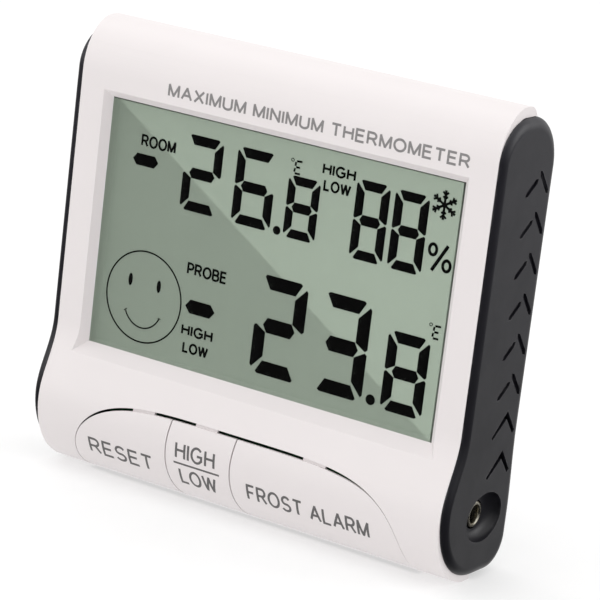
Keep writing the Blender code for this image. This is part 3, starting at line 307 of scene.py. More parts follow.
def turned(name, axis, centre, profile, segments=64):
    """A closed turned shape: profile lists (place on the axis, radius) from one end to the other."""
    along = "XYZ".index(axis)
    others = [i for i in range(3) if i != along]
    shape = bmesh.new()
    rings = []
    for place, radius in profile:
        ring = []
        for i in range(segments if radius > 0 else 1):
            angle = 2 * math.pi * i / segments
            point = [0.0, 0.0, 0.0]
            point[along] = place
            point[others[0]] = centre[0] + radius * math.cos(angle)
            point[others[1]] = centre[1] + radius * math.sin(angle)
            ring.append(shape.verts.new(Vector(point) * MM))
        rings.append(ring)
    for first, second in zip(rings, rings[1:]):
        for i in range(segments):
            quad = [first[i % len(first)], first[(i + 1) % len(first)]]
            quad += [second[(i + 1) % len(second)], second[i % len(second)]]
            shape.faces.new(list(dict.fromkeys(quad)))
    for ring in (rings[0], rings[-1]):
        if len(ring) > 1:
            shape.faces.new(ring)
    return from_bmesh(name, shape)


def skin(shape, layers):
    """Joins rows of points with side faces, and closes the first and the last row."""
    count = len(layers[0])
    shape.faces.new(layers[0])
    shape.faces.new(layers[-1][::-1])
    for first, second in zip(layers, layers[1:]):
        for i in range(count):
            j = (i + 1) % count
            shape.faces.new((first[j], first[i], second[i], second[j]))


def add_prism(shape, outline, ends, plane="YZ"):
    """A flat closed outline, extruded along the third axis between two places."""
    layers = []
    for end in ends:
        if plane == "YZ":
            layers.append([shape.verts.new(Vector((end, u, v)) * MM) for u, v in outline])
        else:
            layers.append([shape.verts.new(Vector((u, end, v)) * MM) for u, v in outline])
    skin(shape, layers)


def prism(name, outline, ends, plane="YZ"):
    shape = bmesh.new()
    add_prism(shape, outline, ends, plane)
    return from_bmesh(name, shape)


def combine(target, operation, tools):
    for tool in tools:
        modifier = target.modifiers.new(tool.name, "BOOLEAN")
        modifier.operation = operation
        modifier.solver = "EXACT"
        modifier.object = tool
    apply_modifiers(target)
    for tool in tools:
        bpy.data.objects.remove(tool, do_unlink=True)
    return target


def cut(target, *tools):
    return combine(target, "DIFFERENCE", tools)


def join(target, *tools):
    return combine(target, "UNION", tools)


def keep_common(target, *tools):
    return combine(target, "INTERSECT", tools)


def apply_modifiers(obj):
    graph = bpy.context.evaluated_depsgraph_get()
    mesh = bpy.data.meshes.new_from_object(obj.evaluated_get(graph))
    old = obj.data
    obj.modifiers.clear()
    obj.data = mesh
    mesh.name = obj.name
    bpy.data.meshes.remove(old)
    return obj


def clean(obj, distance=0.004, flat=0.3):
    """Merges near points and dissolves edges inside flat areas, so that bevels run evenly."""
    shape = bmesh.new()
    shape.from_mesh(obj.data)
    bmesh.ops.remove_doubles(shape, verts=shape.verts, dist=distance * MM)
    bmesh.ops.dissolve_degenerate(shape, edges=shape.edges, dist=distance * MM)
    bmesh.ops.dissolve_limit(
        shape, angle_limit=math.radians(flat), verts=shape.verts, edges=shape.edges
    )
    shape.to_mesh(obj.data)
    shape.free()
    return obj


def soften(obj, width, segments=3, angle=28):
    """Rounds every edge sharper than the angle."""
    modifier = obj.modifiers.new("rounded_edges", "BEVEL")
    modifier.width = width * MM
    modifier.segments = segments
    modifier.limit_method = "ANGLE"
    modifier.angle_limit = math.radians(angle)
    modifier.use_clamp_overlap = True
    return apply_modifiers(obj)


def finish_piece(obj, body, material, replaces=(), smooth=40):
    obj.data.materials.clear()
    obj.data.materials.append(material)
    obj.data.shade_smooth()
    obj.data.set_sharp_from_angle(angle=math.radians(smooth))
    # Large flat faces keep their own direction next to rounded edges.
    weighted = obj.modifiers.new("flat_faces", "WEIGHTED_NORMAL")
    weighted.keep_sharp = True
    weighted.weight = 100
    apply_modifiers(obj)
    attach(obj, body)
    if replaces:
        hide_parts(*replaces)
    return obj


def arc(centre, radii, first, last, steps=14):
    """Points on an ellipse arc, angles in degrees from the first axis towards the second."""
    angles = [math.radians(first + (last - first) * i / steps) for i in range(steps + 1)]
    return [(centre[0] + radii[0] * math.cos(a), centre[1] + radii[1] * math.sin(a)) for a in angles]


def s_blend(low, high, steps):
    """A half-cosine blend between two points, without its two ends."""
    points = []
    for i in range(1, steps):
        share = i / steps
        ease = (1 - math.cos(math.pi * share)) / 2
        points.append((low[0] + (high[0] - low[0]) * ease, low[1] + (high[1] - low[1]) * share))
    return points


# ---------------------------------------------------------------- materials


def new_node(tree, kind, inputs=(), **settings):
    """Adds a node with these settings; inputs pairs its sockets' names with their values."""
    node = tree.nodes.new(kind)
    for key, value in settings.items():
        setattr(node, key, value)
    for key, value in inputs:
        node.inputs[key].default_value = value
    return node


def map_range(tree, source, given, wanted, **settings):
    """A node that maps the source's given range (low, high) to the wanted one."""
    ends = zip(("From Min", "From Max", "To Min", "To Max"), (*given, *wanted))
    node = new_node(tree, "ShaderNodeMapRange", ends, **settings)
    tree.links.new(source, node.inputs["Value"])
    return node


class Nodes:
    """A short way to build a node tree around a Principled shader."""

    def __init__(self, name):
        self.material = bpy.data.materials.new(name)
        self.material.use_nodes = True
        self.tree = self.material.node_tree
        self.shader = self.tree.nodes["Principled BSDF"]
        self.coords = self.new("ShaderNodeTexCoord").outputs["Object"]

    def new(self, kind, inputs=(), **settings):
        return new_node(self.tree, kind, inputs, **settings)

    def link(self, source, target):
        """Links to a socket, or to the shader's socket of that name."""
        if isinstance(target, str):
            target = self.shader.inputs[target]
        self.tree.links.new(source, target)

    def stretched(self, scale):
        """The object's coordinates, stretched along its axes."""
        mapping = self.new("ShaderNodeMapping", (("Scale", scale),))
        self.link(self.coords, mapping.inputs["Vector"])
        return mapping.outputs["Vector"]

    def noise(self, scale, detail=3.0, stretch=None):
        values = (("Scale", scale), ("Detail", detail), ("Roughness", 0.55))
        node = self.new("ShaderNodeTexNoise", values)
        self.link(self.stretched(stretch) if stretch else self.coords, node.inputs["Vector"])
        return node.outputs["Fac"]

    def ramp(self, source, low, high, start, end):
        """The source's range low to high, mapped to start to end."""
        return map_range(self.tree, source, (low, high), (start, end)).outputs["Result"]

    def mix(self, share, first, second):
        node = self.new("ShaderNodeMix", data_type="RGBA")
        self.link(share, node.inputs["Factor"])
        for socket, value in ((node.inputs[6], first), (node.inputs[7], second)):
            if isinstance(value, tuple):
                socket.default_value = (*value, 1.0)
            else:
                self.link(value, socket)
        return node.outputs[2]

    def height(self):
        """The height above the case's foot, in metres."""
        split = self.new("ShaderNodeSeparateXYZ")
        self.link(self.coords, split.inputs["Vector"])
        return split.outputs["Z"]

    def edges(self, radius):
        """How far the surface is rounded away here: 0 on flats and 1 on a sharp edge."""
        bevel = self.new("ShaderNodeBevel", (("Radius", radius * MM),), samples=4)
        geometry = self.new("ShaderNodeNewGeometry")
        product = self.new("ShaderNodeVectorMath", operation="DOT_PRODUCT")
        self.link(bevel.outputs["Normal"], product.inputs[0])
        self.link(geometry.outputs["Normal"], product.inputs[1])
        return self.ramp(product.outputs["Value"], 1.0, 0.8, 0.0, 1.0)

    def bump(self, *layers):
        """Adds layers of (height, strength, distance in millimetres)."""
        last = None
        for height, strength, distance in layers:
            node = self.new("ShaderNodeBump", (("Strength", strength), ("Distance", distance * MM)))
            self.link(height, node.inputs["Height"])
            if last:
                self.link(last, node.inputs["Normal"])
            last = node.outputs["Normal"]
        self.link(last, "Normal")

    def set(self, **values):
        for key, value in values.items():
            self.shader.inputs[key.replace("_", " ")].default_value = value


def scaled(color, factor):
    return tuple(min(c * factor, 1.0) for c in color)


def plastic(name, color, roughness, variation=0.03, grain=0.35, edge_wear_and_highlight=None, painted_foot_shade=None):
    """Moulded plastic: fine spark-eroded grain, slight clouding, edges lighter where rubbed smooth and as
    painted highlight, and optionally painted shade darkening towards the foot.
    """
    m = Nodes(name)
    low, high = scaled(color, 1 - variation), scaled(color, 1 + variation)
    cloud = m.ramp(m.noise(35.0, 4.0), 0.35, 0.65, 0.0, 1.0)
    fleck = m.ramp(m.noise(900.0, 2.0), 0.62, 0.72, 0.0, 0.12)
    base = m.mix(fleck, m.mix(cloud, low, high), scaled(color, 1 - 4 * variation))
    if painted_foot_shade:
        # Painted shade: the colour darkens from the top towards the foot, standing in for light that falls
        # off lower down.
        height = m.ramp(m.height(), 0.0, REAR_HIGH.z * MM, 1.0, 0.0)
        base = m.mix(height, base, scaled(color, painted_foot_shade))
    # Lighter colour on rounded edges: partly rubbed wear, partly painted highlight.
    if edge_wear_and_highlight:
        patchy = m.new("ShaderNodeMath", operation="MULTIPLY")
        m.link(m.edges(0.5), patchy.inputs[0])
        m.link(m.ramp(m.noise(260.0, 4.0), 0.45, 0.62, 0.0, 1.0), patchy.inputs[1])
        base = m.mix(patchy.outputs[0], base, edge_wear_and_highlight)
    m.link(base, "Base Color")
    m.link(m.ramp(m.noise(120.0, 5.0), 0.3, 0.7, roughness - 0.05, roughness + 0.05), "Roughness")
    m.bump((m.noise(3200.0, 2.0), grain, 0.03), (m.noise(45.0, 2.0), 0.08, 0.3))
    return m.material


def metal(name, color, roughness, stretch=(1.0, 1.0, 1.0), tarnish=None):
    """Plated or drawn metal with fine lines along one way and dull patches."""
    m = Nodes(name)
    patch = m.ramp(m.noise(180.0, 5.0), 0.4, 0.7, 0.0, 1.0)
    m.link(m.mix(patch, color, tarnish or scaled(color, 0.8)), "Base Color")
    lines = m.noise(1500.0, 3.0, stretch)
    m.link(m.ramp(lines, 0.3, 0.7, roughness - 0.06, roughness + 0.1), "Roughness")
    m.bump((lines, 0.25, 0.02))
    m.set(Metallic=1.0)
    return m.material


def ink(name, color, roughness=0.55, shine=0.3):
    """Printed ink: slightly uneven cover."""
    m = Nodes(name)
    cover = m.ramp(m.noise(2500.0, 3.0), 0.35, 0.7, 0.0, 1.0)
    m.link(m.mix(cover, scaled(color, 0.93), scaled(color, 1.1)), "Base Color")
    m.link(m.ramp(m.noise(700.0), 0.3, 0.7, roughness - 0.06, roughness + 0.06), "Roughness")
    m.bump((m.noise(3800.0, 2.0), 0.3, 0.01))
    m.set(Specular_IOR_Level=shine)
    return m.material


def clear_plastic(name):
    """The lens: polished clear plastic with the faintest of ripple and wipe marks."""
    m = Nodes(name)
    m.set(Base_Color=(1.0, 1.0, 1.0, 1.0), IOR=1.49, Transmission_Weight=1.0)
    wipe = m.noise(60.0, 4.0, (1.0, 1.0, 0.12))
    m.link(m.ramp(wipe, 0.5, 0.9, 0.0, 0.006), "Roughness")
    m.bump((m.noise(12.0, 1.0), 0.004, 0.02))
    return m.material


def panel_glass(name, color):
    """The display's grey-green back layer: fine pearly reflector under polished glass."""
    m = Nodes(name)
    pearl = m.ramp(m.noise(1800.0, 2.0), 0.3, 0.7, 0.0, 1.0)
    cloud = m.ramp(m.noise(22.0, 3.0), 0.35, 0.65, 0.0, 1.0)
    blend = m.new("ShaderNodeMix", data_type="RGBA")
    blend.inputs["Factor"].default_value = 0.5
    m.link(m.mix(pearl, scaled(color, 0.97), scaled(color, 1.03)), blend.inputs[6])
    m.link(m.mix(cloud, scaled(color, 0.98), scaled(color, 1.02)), blend.inputs[7])
    m.link(blend.outputs[2], "Base Color")
    m.link(m.ramp(pearl, 0.0, 1.0, 0.38, 0.46), "Roughness")
    m.bump((m.noise(2400.0, 2.0), 0.1, 0.01))
    return m.material


def circuit_green(name):
    """Solder mask over copper tracks."""
    m = Nodes(name)
    bricks = m.new("ShaderNodeTexBrick", (("Scale", 160.0), ("Mortar Size", 0.06)))
    turn = m.new("ShaderNodeMapping", (("Rotation", (math.pi / 2, 0.0, 0.0)),))
    m.link(m.coords, turn.inputs["Vector"])
    m.link(turn.outputs["Vector"], bricks.inputs["Vector"])
    m.link(m.mix(bricks.outputs["Fac"], (0.02, 0.13, 0.05), (0.05, 0.24, 0.09)), "Base Color")
    m.link(m.ramp(m.noise(200.0), 0.3, 0.7, 0.3, 0.45), "Roughness")
    m.bump((bricks.outputs["Fac"], 0.3, 0.05))
    return m.material


def paper_floor(name):
    """White paper that glows a little, so that it comes out plain white."""
    m = Nodes(name)
    fibre = m.ramp(m.noise(90.0, 5.0), 0.3, 0.7, 0.0, 1.0)
    m.link(m.mix(fibre, (0.48, 0.48, 0.48), (0.50, 0.50, 0.50)), "Base Color")
    m.set(Emission_Color=(1.0, 1.0, 1.0, 1.0), Emission_Strength=0.5)
    m.link(m.ramp(fibre, 0.0, 1.0, 0.85, 0.95), "Roughness")
    m.bump((m.noise(400.0, 3.0), 0.05, 0.05))
    return m.material


# Both plastics have lighter rounded edges: partly rubbed wear, partly painted highlight.
WHITE = plastic("warm_white_plastic", (0.80, 0.755, 0.755), 0.42, 0.008, 0.12, (0.83, 0.80, 0.80))
# Painted shade: the charcoal's colour darkens towards the foot.
DARK = plastic(
    "charcoal_plastic", (0.0125, 0.0121, 0.0185), 0.42, 0.06, 0.3, (0.07, 0.07, 0.075), painted_foot_shade=0.6
)
DARK_SMOOTH = plastic("black_moulded_plastic", (0.035, 0.035, 0.037), 0.42, 0.06, 0.2)
NATURAL = plastic("natural_plastic", (0.6, 0.6, 0.58), 0.5)
RUBBER = plastic("grey_rubber", (0.12, 0.12, 0.12), 0.8, 0.08, 0.5)
EPOXY = plastic("black_epoxy", (0.02, 0.02, 0.02), 0.3, 0.1, 0.1)
CAN = plastic("capacitor_sleeve", (0.05, 0.06, 0.12), 0.4)
RED = plastic("wire_red", (0.55, 0.03, 0.03), 0.45)
BLACK = plastic("wire_black", (0.02, 0.02, 0.02), 0.45)
STEEL = metal("plated_steel", (0.66, 0.65, 0.62), 0.28, (1.0, 8.0, 1.0), (0.42, 0.40, 0.36))
NICKEL = metal("nickel_ring", (0.62, 0.59, 0.50), 0.24, (6.0, 1.0, 1.0), (0.30, 0.27, 0.20))
BRASS = metal("brass", (0.72, 0.55, 0.25), 0.3)
CELL_FOIL = metal("cell_label", (0.16, 0.30, 0.42), 0.3, (1.0, 6.0, 6.0))
CELL_BAND = metal("cell_band", (0.72, 0.60, 0.32), 0.3, (1.0, 6.0, 6.0))
LENS = clear_plastic("clear_lens")
PANEL = panel_glass("lcd_glass", (0.30, 0.355, 0.29))
BOARD = circuit_green("board_green")
SEGMENT_INK = ink("segment_black", (0.0008, 0.001, 0.0008), 0.4, 0.02)
KEY_INK = ink("key_print", (0.15, 0.145, 0.145))
HEAD_INK = ink("header_print", (0.27, 0.26, 0.26))


# ---------------------------------------------------------------- front shell and keys


def sleeve_front(inset):
    """The sleeve's profile at this depth below the outer surface, from the base up to the crown."""
    radius = BULLNOSE_R - inset
    start = math.degrees(math.acos(min((BULLNOSE_Z - inset) / radius, 1.0)))
    low = arc((BULLNOSE_Y, BULLNOSE_Z), (radius, radius), 270 - start, 180, 30)
    nose_y = BULLNOSE_Y - radius
    middle = s_blend((nose_y, BULLNOSE_Z), (FRONT_Y + inset, BLEND_TOP_Z), 24)
    crown = arc((CROWN_Y, CROWN_Z), (CROWN_RY - inset, CROWN_RZ - inset), 180, 90, 24)
    return low + middle + [(FRONT_Y + inset, BLEND_TOP_Z)] + crown


def sleeve_band(outer_inset, inner_inset, base_back, lip_back):
    """The closed C outline between two depths."""
    outer = [(base_back, outer_inset)] + sleeve_front(outer_inset)
    inner = [(base_back, inner_inset)] + sleeve_front(inner_inset)
    top_outer = CROWN_Z + CROWN_RZ - outer_inset
    top_inner = CROWN_Z + CROWN_RZ - inner_inset
    nose = arc((lip_back - LIP_R, top_outer - LIP_R), (LIP_R, LIP_R), 90, 42, 8)
    return outer + nose + [(lip_back - 0.1, top_inner)] + inner[::-1]


def front_y(z):
    """Where the sleeve's outer surface is at this height."""
    if z < BULLNOSE_Z:
        return BULLNOSE_Y - math.sqrt(max(BULLNOSE_R**2 - (BULLNOSE_Z - z) ** 2, 0.0))
    if z < BLEND_TOP_Z:
        share = (z - BULLNOSE_Z) / (BLEND_TOP_Z - BULLNOSE_Z)
        nose_y = BULLNOSE_Y - BULLNOSE_R
        return nose_y + (FRONT_Y - nose_y) * (1 - math.cos(math.pi * share)) / 2
    if z < CROWN_Z:
        return FRONT_Y
    return CROWN_Y - CROWN_RY * math.sqrt(max(1 - ((z - CROWN_Z) / CROWN_RZ) ** 2, 0.0))


def bevel_edges(obj, width, segments, chosen):
    """Rounds the edges that a test on each edge chooses."""
    shape = bmesh.new()
    shape.from_mesh(obj.data)
    bmesh.ops.bevel(
        shape, geom=[edge for edge in shape.edges if chosen(edge)], offset=width * MM,
        segments=segments, profile=0.5, affect="EDGES", clamp_overlap=True,
    )
    shape.to_mesh(obj.data)
    shape.free()
    return obj


def round_ends(obj, half, width, segments, outline):
    """Rounds the rim of both end faces of a prism along X, where it follows this outline in YZ."""
    corners = {(round(y, 2), round(z, 2)) for y, z in outline}

    def on_rim(edge):
        places = [(round(v.co.y / MM, 2), round(v.co.z / MM, 2)) for v in edge.verts]
        at_end = all(abs(abs(v.co.x) - half * MM) < 1e-7 for v in edge.verts)
        return at_end and all(place in corners for place in places)

    return bevel_edges(obj, width, segments, on_rim)


def round_window(obj):
    """Rounds the creases between the face and the window's bevel."""
    low_z, high_z = WINDOW_Z[0] - 4.5, WINDOW_Z[1] + 2.5

    def on_crease(edge):
        if len(edge.link_faces) != 2 or edge.calc_face_angle() < math.radians(15):
            return False
        middle = (edge.verts[0].co + edge.verts[1].co) / 2 / MM
        before = middle.y < WINDOW_DEPTH_Y - 0.4
        return before and abs(middle.x) < CAVITY_HALF and low_z < middle.z < high_z

    return bevel_edges(obj, WINDOW_ROUNDING, 4, on_crease)


def key_top(x, grow=0.0):
    reach = min(abs(x) / (KEY_HALF + grow), 1.0)
    return (KEY_TOP_Z + grow) * (1 - reach ** KEY_POWERS[0]) ** (1 / KEY_POWERS[1])


def key_split(z):
    """How far a split between two keys bows to the left at this height."""
    share = min(max(z / KEY_TOP_Z, 0.0), 1.0)
    return -KEY_SPLIT_BOW * math.sin(math.pi * share)


def key_outline(left, right, grow=0.0, steps=64):
    """One key's outline in XZ, or the whole opening's where left and right are its ends."""
    low = -2.0
    half = KEY_HALF + grow

    def edge(x, side):
        if abs(x) >= half:
            return [(side * half, low), (side * half, 0.0)]
        rows = [low] + [key_top(x, grow) * i / 16 for i in range(16)]
        return [(x + key_split(z), z) for z in rows]

    first = math.asin(max(left / half, -1.0))
    last = math.asin(min(right / half, 1.0))
    top = []
    for i in range(steps + 1):
        x = half * math.sin(first + (last - first) * i / steps)
        z = key_top(x, grow)
        if z > 0.5:
            top.append((x, z))
    return edge(left, -1) + top + edge(right, 1)[::-1]


def window_cutter():
    """A frustum whose sloping sides make the window's bevel and its creases in the bulge."""
    middle_z = sum(WINDOW_Z) / 2
    half_z = (WINDOW_Z[1] - WINDOW_Z[0]) / 2
    slope = WINDOW_BEVEL / (WINDOW_DEPTH_Y - FRONT_Y)
    outer_y = SHELL_LOW.y - 1.0
    spread = slope * (WINDOW_DEPTH_Y - outer_y)
    window = box("window_cut", (-1, outer_y, -1), (1, WINDOW_DEPTH_Y, 1))
    for vertex in window.data.vertices:
        grow = spread if vertex.co.y < (outer_y + 0.1) * MM else 0.0
        vertex.co.x = math.copysign(WINDOW_HALF + grow, vertex.co.x) * MM
        vertex.co.z = (middle_z + math.copysign(half_z + grow, vertex.co.z)) * MM
    return window


def under_surface(low_z, high_z, near, far, steps=10):
    """A YZ outline that follows the sleeve's surface between two depths."""
    heights = [low_z + (high_z - low_z) * i / steps for i in range(steps + 1)]
    front = [(front_y(z) + near, z) for z in heights]
    back = [(front_y(z) + far, z) for z in reversed(heights)]
    return front + back


def rim_cutter(name, outline, near, far):
    """What lies under an outline in XZ, between two depths below the sleeve's surface."""
    band = prism(name, sleeve_band(near, far, -4.0, LIP_BACK_Y), (-SHELL_HALF, SHELL_HALF))
    return keep_common(band, prism("rim_form", outline, (BEFORE_Y, -5.0), "XZ"))


def make_bosses():
    """The screw bosses and posts inside the sleeve, and the cutters for their holes."""
    bosses, holes = [], []
    for x, z in CASE_SCREWS:
        root_y = HIGH_ROOT_Y if z > BLEND_TOP_Z else LOW_ROOT_Y
        bosses.append(rod("case_boss", "Y", (x, z), BOSS_RADII[0], (root_y, BOSS_END_Y), 40))
        holes.append(rod("case_boss_hole", "Y", (x, z), BOSS_RADII[1], (-4.5, 2.0), 24))
    posts = (
        (BOARD_POST, LOW_ROOT_Y, BOARD_FRONT_Y, -7.5), (HOLDER_POST, -8.0, HOLDER_FLOOR_Y, -6.8)
    )
    for side in (-1, 1):
        for (x, z), root_y, end_y, hole_y in posts:
            place = (side * x, z)
            bosses.append(rod("post", "Y", place, POST_RADII[0], (root_y, end_y - GAP), 32))
            holes.append(rod("post_hole", "Y", place, POST_RADII[1], (hole_y, end_y + 1.0), 24))
    return bosses, holes


def make_front_shell():
    band = sleeve_band(0.0, SHELL_WALL, BASE_BACK_Y, LIP_BACK_Y)
    shell = prism("front_sleeve", band, (-SHELL_HALF, SHELL_HALF))
    round_ends(shell, SHELL_HALF, END_R, 5, sleeve_front(0.0))
    inner_y = -4.0
    through = box(
        "window_through",
        (-WINDOW_HALF, WINDOW_DEPTH_Y - 0.2, WINDOW_Z[0]),
        (WINDOW_HALF, inner_y, WINDOW_Z[1]),
    )
    pocket = box(
        "lens_pocket",
        (LENS_LOW.x - GAP, WINDOW_DEPTH_Y, LENS_LOW.z - GAP),
        (LENS_HIGH.x + GAP, inner_y, LENS_HIGH.z + GAP),
    )
    half = KEY_HALF + SIDE_GAP
    opening = key_outline(-half, half, SIDE_GAP, 96)
    key_hole = prism("key_hole", opening, (BEFORE_Y, KEY_END_Y + 1.5), "XZ")
    bosses, holes = make_bosses()
    join(shell, *bosses)
    cut(shell, window_cutter(), through, pocket, key_hole, *holes)
    clean(shell)
    round_window(shell)
    soften(shell, 0.2, 3)
    # The rim round the keys is thin, so that only darkness shows through the gap above them.
    half = KEY_HALF + RIM_REACH
    wide = key_outline(-half, half, RIM_REACH, 96)
    pockets = [rim_cutter("key_rim", wide, KEY_SKIN, SHELL_WALL + 0.4)]
    near, far = WEB_DEPTH - 0.08, SHELL_WALL + 0.6
    outline = under_surface(WEB_POCKET_Z, WEB_TOP_Z + GAP, near, far)
    for _, _, web_x, _ in KEYS.values():
        reach = WEB_HALF + WEB_GAP
        pockets.append(prism("web_pocket", outline, (web_x - reach, web_x + reach)))
    cut(shell, *pockets)
    finish_piece(shell, "housing", WHITE, ["front_shell"])


def lower_edge(x, z):
    """Sinks a point of a key's outline by the gap above the keys, which closes at the row's ends."""
    share = min((KEY_HALF + x) / 4.0 + 0.15, (KEY_HALF - 3.0 - x) / 12.0, 1.0)
    height = min(max(z / KEY_TOP_Z, 0.0), 1.0)
    return x, z - TOP_GAP * max(share, TOP_GAP_LEAST) * height**2


def edge_cutter(left, right):
    """Thins a key's top edge from behind, down to the skin."""
    crest = [(x, key_top(x) - 1.6) for x in [left + (right - left) * i / 60 for i in range(61)]]
    crest = [(x, z) for x, z in crest if z > 2.0]
    high, past = 22.0, 3.0
    (first_x, first_z), (last_x, last_z) = crest[0], crest[-1]
    edge = crest + [(last_x + past, last_z), (last_x + past, high)]
    edge += [(first_x - past, high), (first_x - past, first_z)]
    return rim_cutter("edge_cut", edge, KEY_SKIN, SHELL_WALL + 0.4)


def make_key(name, left, right, web_x, plunger_x):
    """A key follows the bulge, with a wider gap along its top edge than at its sides."""
    sleeve = sleeve_band(KEY_INSET, SHELL_WALL, BASE_BACK_Y, LIP_BACK_Y)
    key = prism(name + "_cap", sleeve, (-SHELL_HALF, SHELL_HALF))
    if left > -KEY_HALF:
        left += SIDE_GAP
    if right < KEY_HALF:
        right -= SIDE_GAP
    lowered = [lower_edge(x, z) for x, z in key_outline(left, right)]
    keep_common(key, prism("key_form", lowered, (BEFORE_Y, KEY_END_Y), "XZ"))
    clean(key)
    soften(key, 0.28, 3)
    cut(key, edge_cutter(left, right))
    outline = under_surface(KEY_TOP_Z - WEB_REACH, WEB_TOP_Z, WEB_DEPTH, WEB_DEPTH + WEB_THICK)
    web = prism(name + "_web", outline, (web_x - WEB_HALF, web_x + WEB_HALF))
    plunger_ends = (SHELL_LOW.y + SHELL_WALL - 0.2, PLUNGER_BACK_Y)
    plunger = rod(name + "_plunger", "Y", (plunger_x, PLUNGER_Z), PLUNGER_R, plunger_ends, 48)
    join(key, web, plunger)
    finish_piece(key, name, WHITE, [name], 35)


# ---------------------------------------------------------------- lettering


# Capitals as strokes in a frame one unit high: (advance width, strokes).
GLYPHS = {
    "A": (0.72, [[(0.0, 0.0), (0.36, 1.0), (0.72, 0.0)], [(0.13, 0.34), (0.59, 0.34)]]),
    "B": (0.60, [
        [(0.0, 0.0), (0.0, 1.0), (0.33, 1.0)] + arc((0.33, 0.76), (0.22, 0.24), 80, -90)
        + [(0.0, 0.52)],
        [(0.3, 0.52)] + arc((0.33, 0.26), (0.27, 0.26), 85, -90) + [(0.0, 0.0)],
    ]),
    "E": (0.56, [[(0.56, 0.0), (0.0, 0.0), (0.0, 1.0), (0.54, 1.0)], [(0.0, 0.53), (0.50, 0.53)]]),
    "F": (0.52, [[(0.0, 0.0), (0.0, 1.0), (0.52, 1.0)], [(0.0, 0.52), (0.45, 0.52)]]),
    "G": (0.74, [
        arc((0.38, 0.5), (0.38, 0.5), 42, 325, 26) + [(0.72, 0.22), (0.72, 0.47), (0.40, 0.47)]
    ]),
    "H": (0.62, [[(0.0, 0.0), (0.0, 1.0)], [(0.62, 0.0), (0.62, 1.0)], [(0.0, 0.53), (0.62, 0.53)]]),
    "I": (0.0, [[(0.0, 0.0), (0.0, 1.0)]]),
    "L": (0.52, [[(0.0, 1.0), (0.0, 0.0), (0.52, 0.0)]]),
    "M": (0.74, [[(0.0, 0.0), (0.0, 1.0), (0.37, 0.04), (0.74, 1.0), (0.74, 0.0)]]),
    "N": (0.62, [[(0.0, 0.0), (0.0, 1.0), (0.62, 0.0), (0.62, 1.0)]]),
    "O": (0.78, [arc((0.39, 0.5), (0.39, 0.5), 90, 450, 40)]),
    "P": (0.56, [
        [(0.0, 0.0), (0.0, 1.0), (0.3, 1.0)] + arc((0.3, 0.72), (0.26, 0.28), 80, -90)
        + [(0.0, 0.44)]
    ]),
    "R": (0.62, [
        [(0.0, 0.0), (0.0, 1.0), (0.33, 1.0)] + arc((0.33, 0.74), (0.25, 0.26), 80, -90)
        + [(0.0, 0.48)],
        [(0.34, 0.48), (0.62, 0.0)],
    ]),
    "S": (0.60, [
        arc((0.3, 0.74), (0.27, 0.26), 25, 250) + [(0.36, 0.49)]
        + arc((0.3, 0.25), (0.30, 0.25), 70, -155)
    ]),
    "T": (0.64, [[(0.0, 1.0), (0.64, 1.0)], [(0.32, 1.0), (0.32, 0.0)]]),
    "U": (0.62, [
        [(0.0, 1.0), (0.0, 0.3)] + arc((0.31, 0.3), (0.31, 0.3), 190, 350)
        + [(0.62, 0.3), (0.62, 1.0)]
    ]),
    "W": (0.98, [[(0.0, 1.0), (0.245, 0.0), (0.49, 0.97), (0.735, 0.0), (0.98, 1.0)]]),
    "X": (0.66, [[(0.0, 0.0), (0.66, 1.0)], [(0.0, 1.0), (0.66, 0.0)]]),
    " ": (0.15, []),
}
LETTER_GAP = 0.27
MITRE_LIMIT = 1.45
SHARP_TURN = -0.3
STROKE_LIFT = 0.004


def stroke(shape, points, width, closed=False, lift=0.0):
    """Adds a flat ribbon of this width along points in XZ, with mitred corners."""
    points = [Vector(p) for p in points]
    count = len(points)
    pairs = []
    for i, point in enumerate(points):
        sides = []
        if closed or i > 0:
            sides.append((point - points[i - 1]).normalized())
        if closed or i < count - 1:
            sides.append((points[(i + 1) % count] - point).normalized())
        normals = [Vector((-run.y, run.x)) for run in sides]
        middle = sum(normals, Vector((0.0, 0.0))).normalized()
        reach = min(1 / max(middle.dot(normals[0]), 0.1), MITRE_LIMIT) * width / 2
        edges = (point + middle * reach, point - middle * reach)
        pairs.append([shape.verts.new((edge.x, -lift, edge.y)) for edge in edges])
    for i in range(count if closed else count - 1):
        a, b = pairs[i], pairs[(i + 1) % count]
        shape.faces.new((a[0], a[1], b[1], b[0]))


def split_sharp(points, overlap):
    """Cuts a line at its sharp corners into runs that overlap a little there."""
    points = [Vector(p) for p in points]
    runs = [points[:1]]
    for before, point, after in zip(points, points[1:], points[2:]):
        first, second = (point - before).normalized(), (after - point).normalized()
        if first.dot(second) > SHARP_TURN:
            runs[-1].append(point)
            continue
        runs[-1].append(point + first * overlap)
        runs.append([point - second * overlap])
    runs[-1].append(points[-1])
    return runs


def lettering(words, corner, height, width, weight):
    """Words in capitals as flat ribbons; corner, height and width give the block they fill."""
    advance = 0.0
    strokes = []
    for letter in words:
        letter_width, lines = GLYPHS[letter]
        for line in lines:
            strokes.append([(x + advance, z) for x, z in line])
        advance += letter_width + LETTER_GAP
    stretch = (width - weight) / (advance - LETTER_GAP)
    rise = height - weight
    shape = bmesh.new()
    layer = 0
    for line in strokes:
        placed = [
            (corner[0] + weight / 2 + x * stretch, corner[1] + weight / 2 + z * rise)
            for x, z in line
        ]
        closed = (Vector(line[0]) - Vector(line[-1])).length < 1e-6
        for run in [placed[:-1]] if closed else split_sharp(placed, weight * 0.2):
            # Runs that cross lie at slightly different heights.
            stroke(shape, run, weight, closed, STROKE_LIFT * (layer % 4))
            layer += 1
    return shape


def polygon(shape, points):
    shape.faces.new([shape.verts.new((x, 0.0, z)) for x, z in points])


def merge(*shapes):
    """Joins flat shapes into one bmesh."""
    if len(shapes) == 1:
        return shapes[0]
    target = bmesh.new()
    for shape in shapes:
        mesh = bpy.data.meshes.new("shape")
        shape.to_mesh(mesh)
        shape.free()
        target.from_mesh(mesh)
        bpy.data.meshes.remove(mesh)
    return target


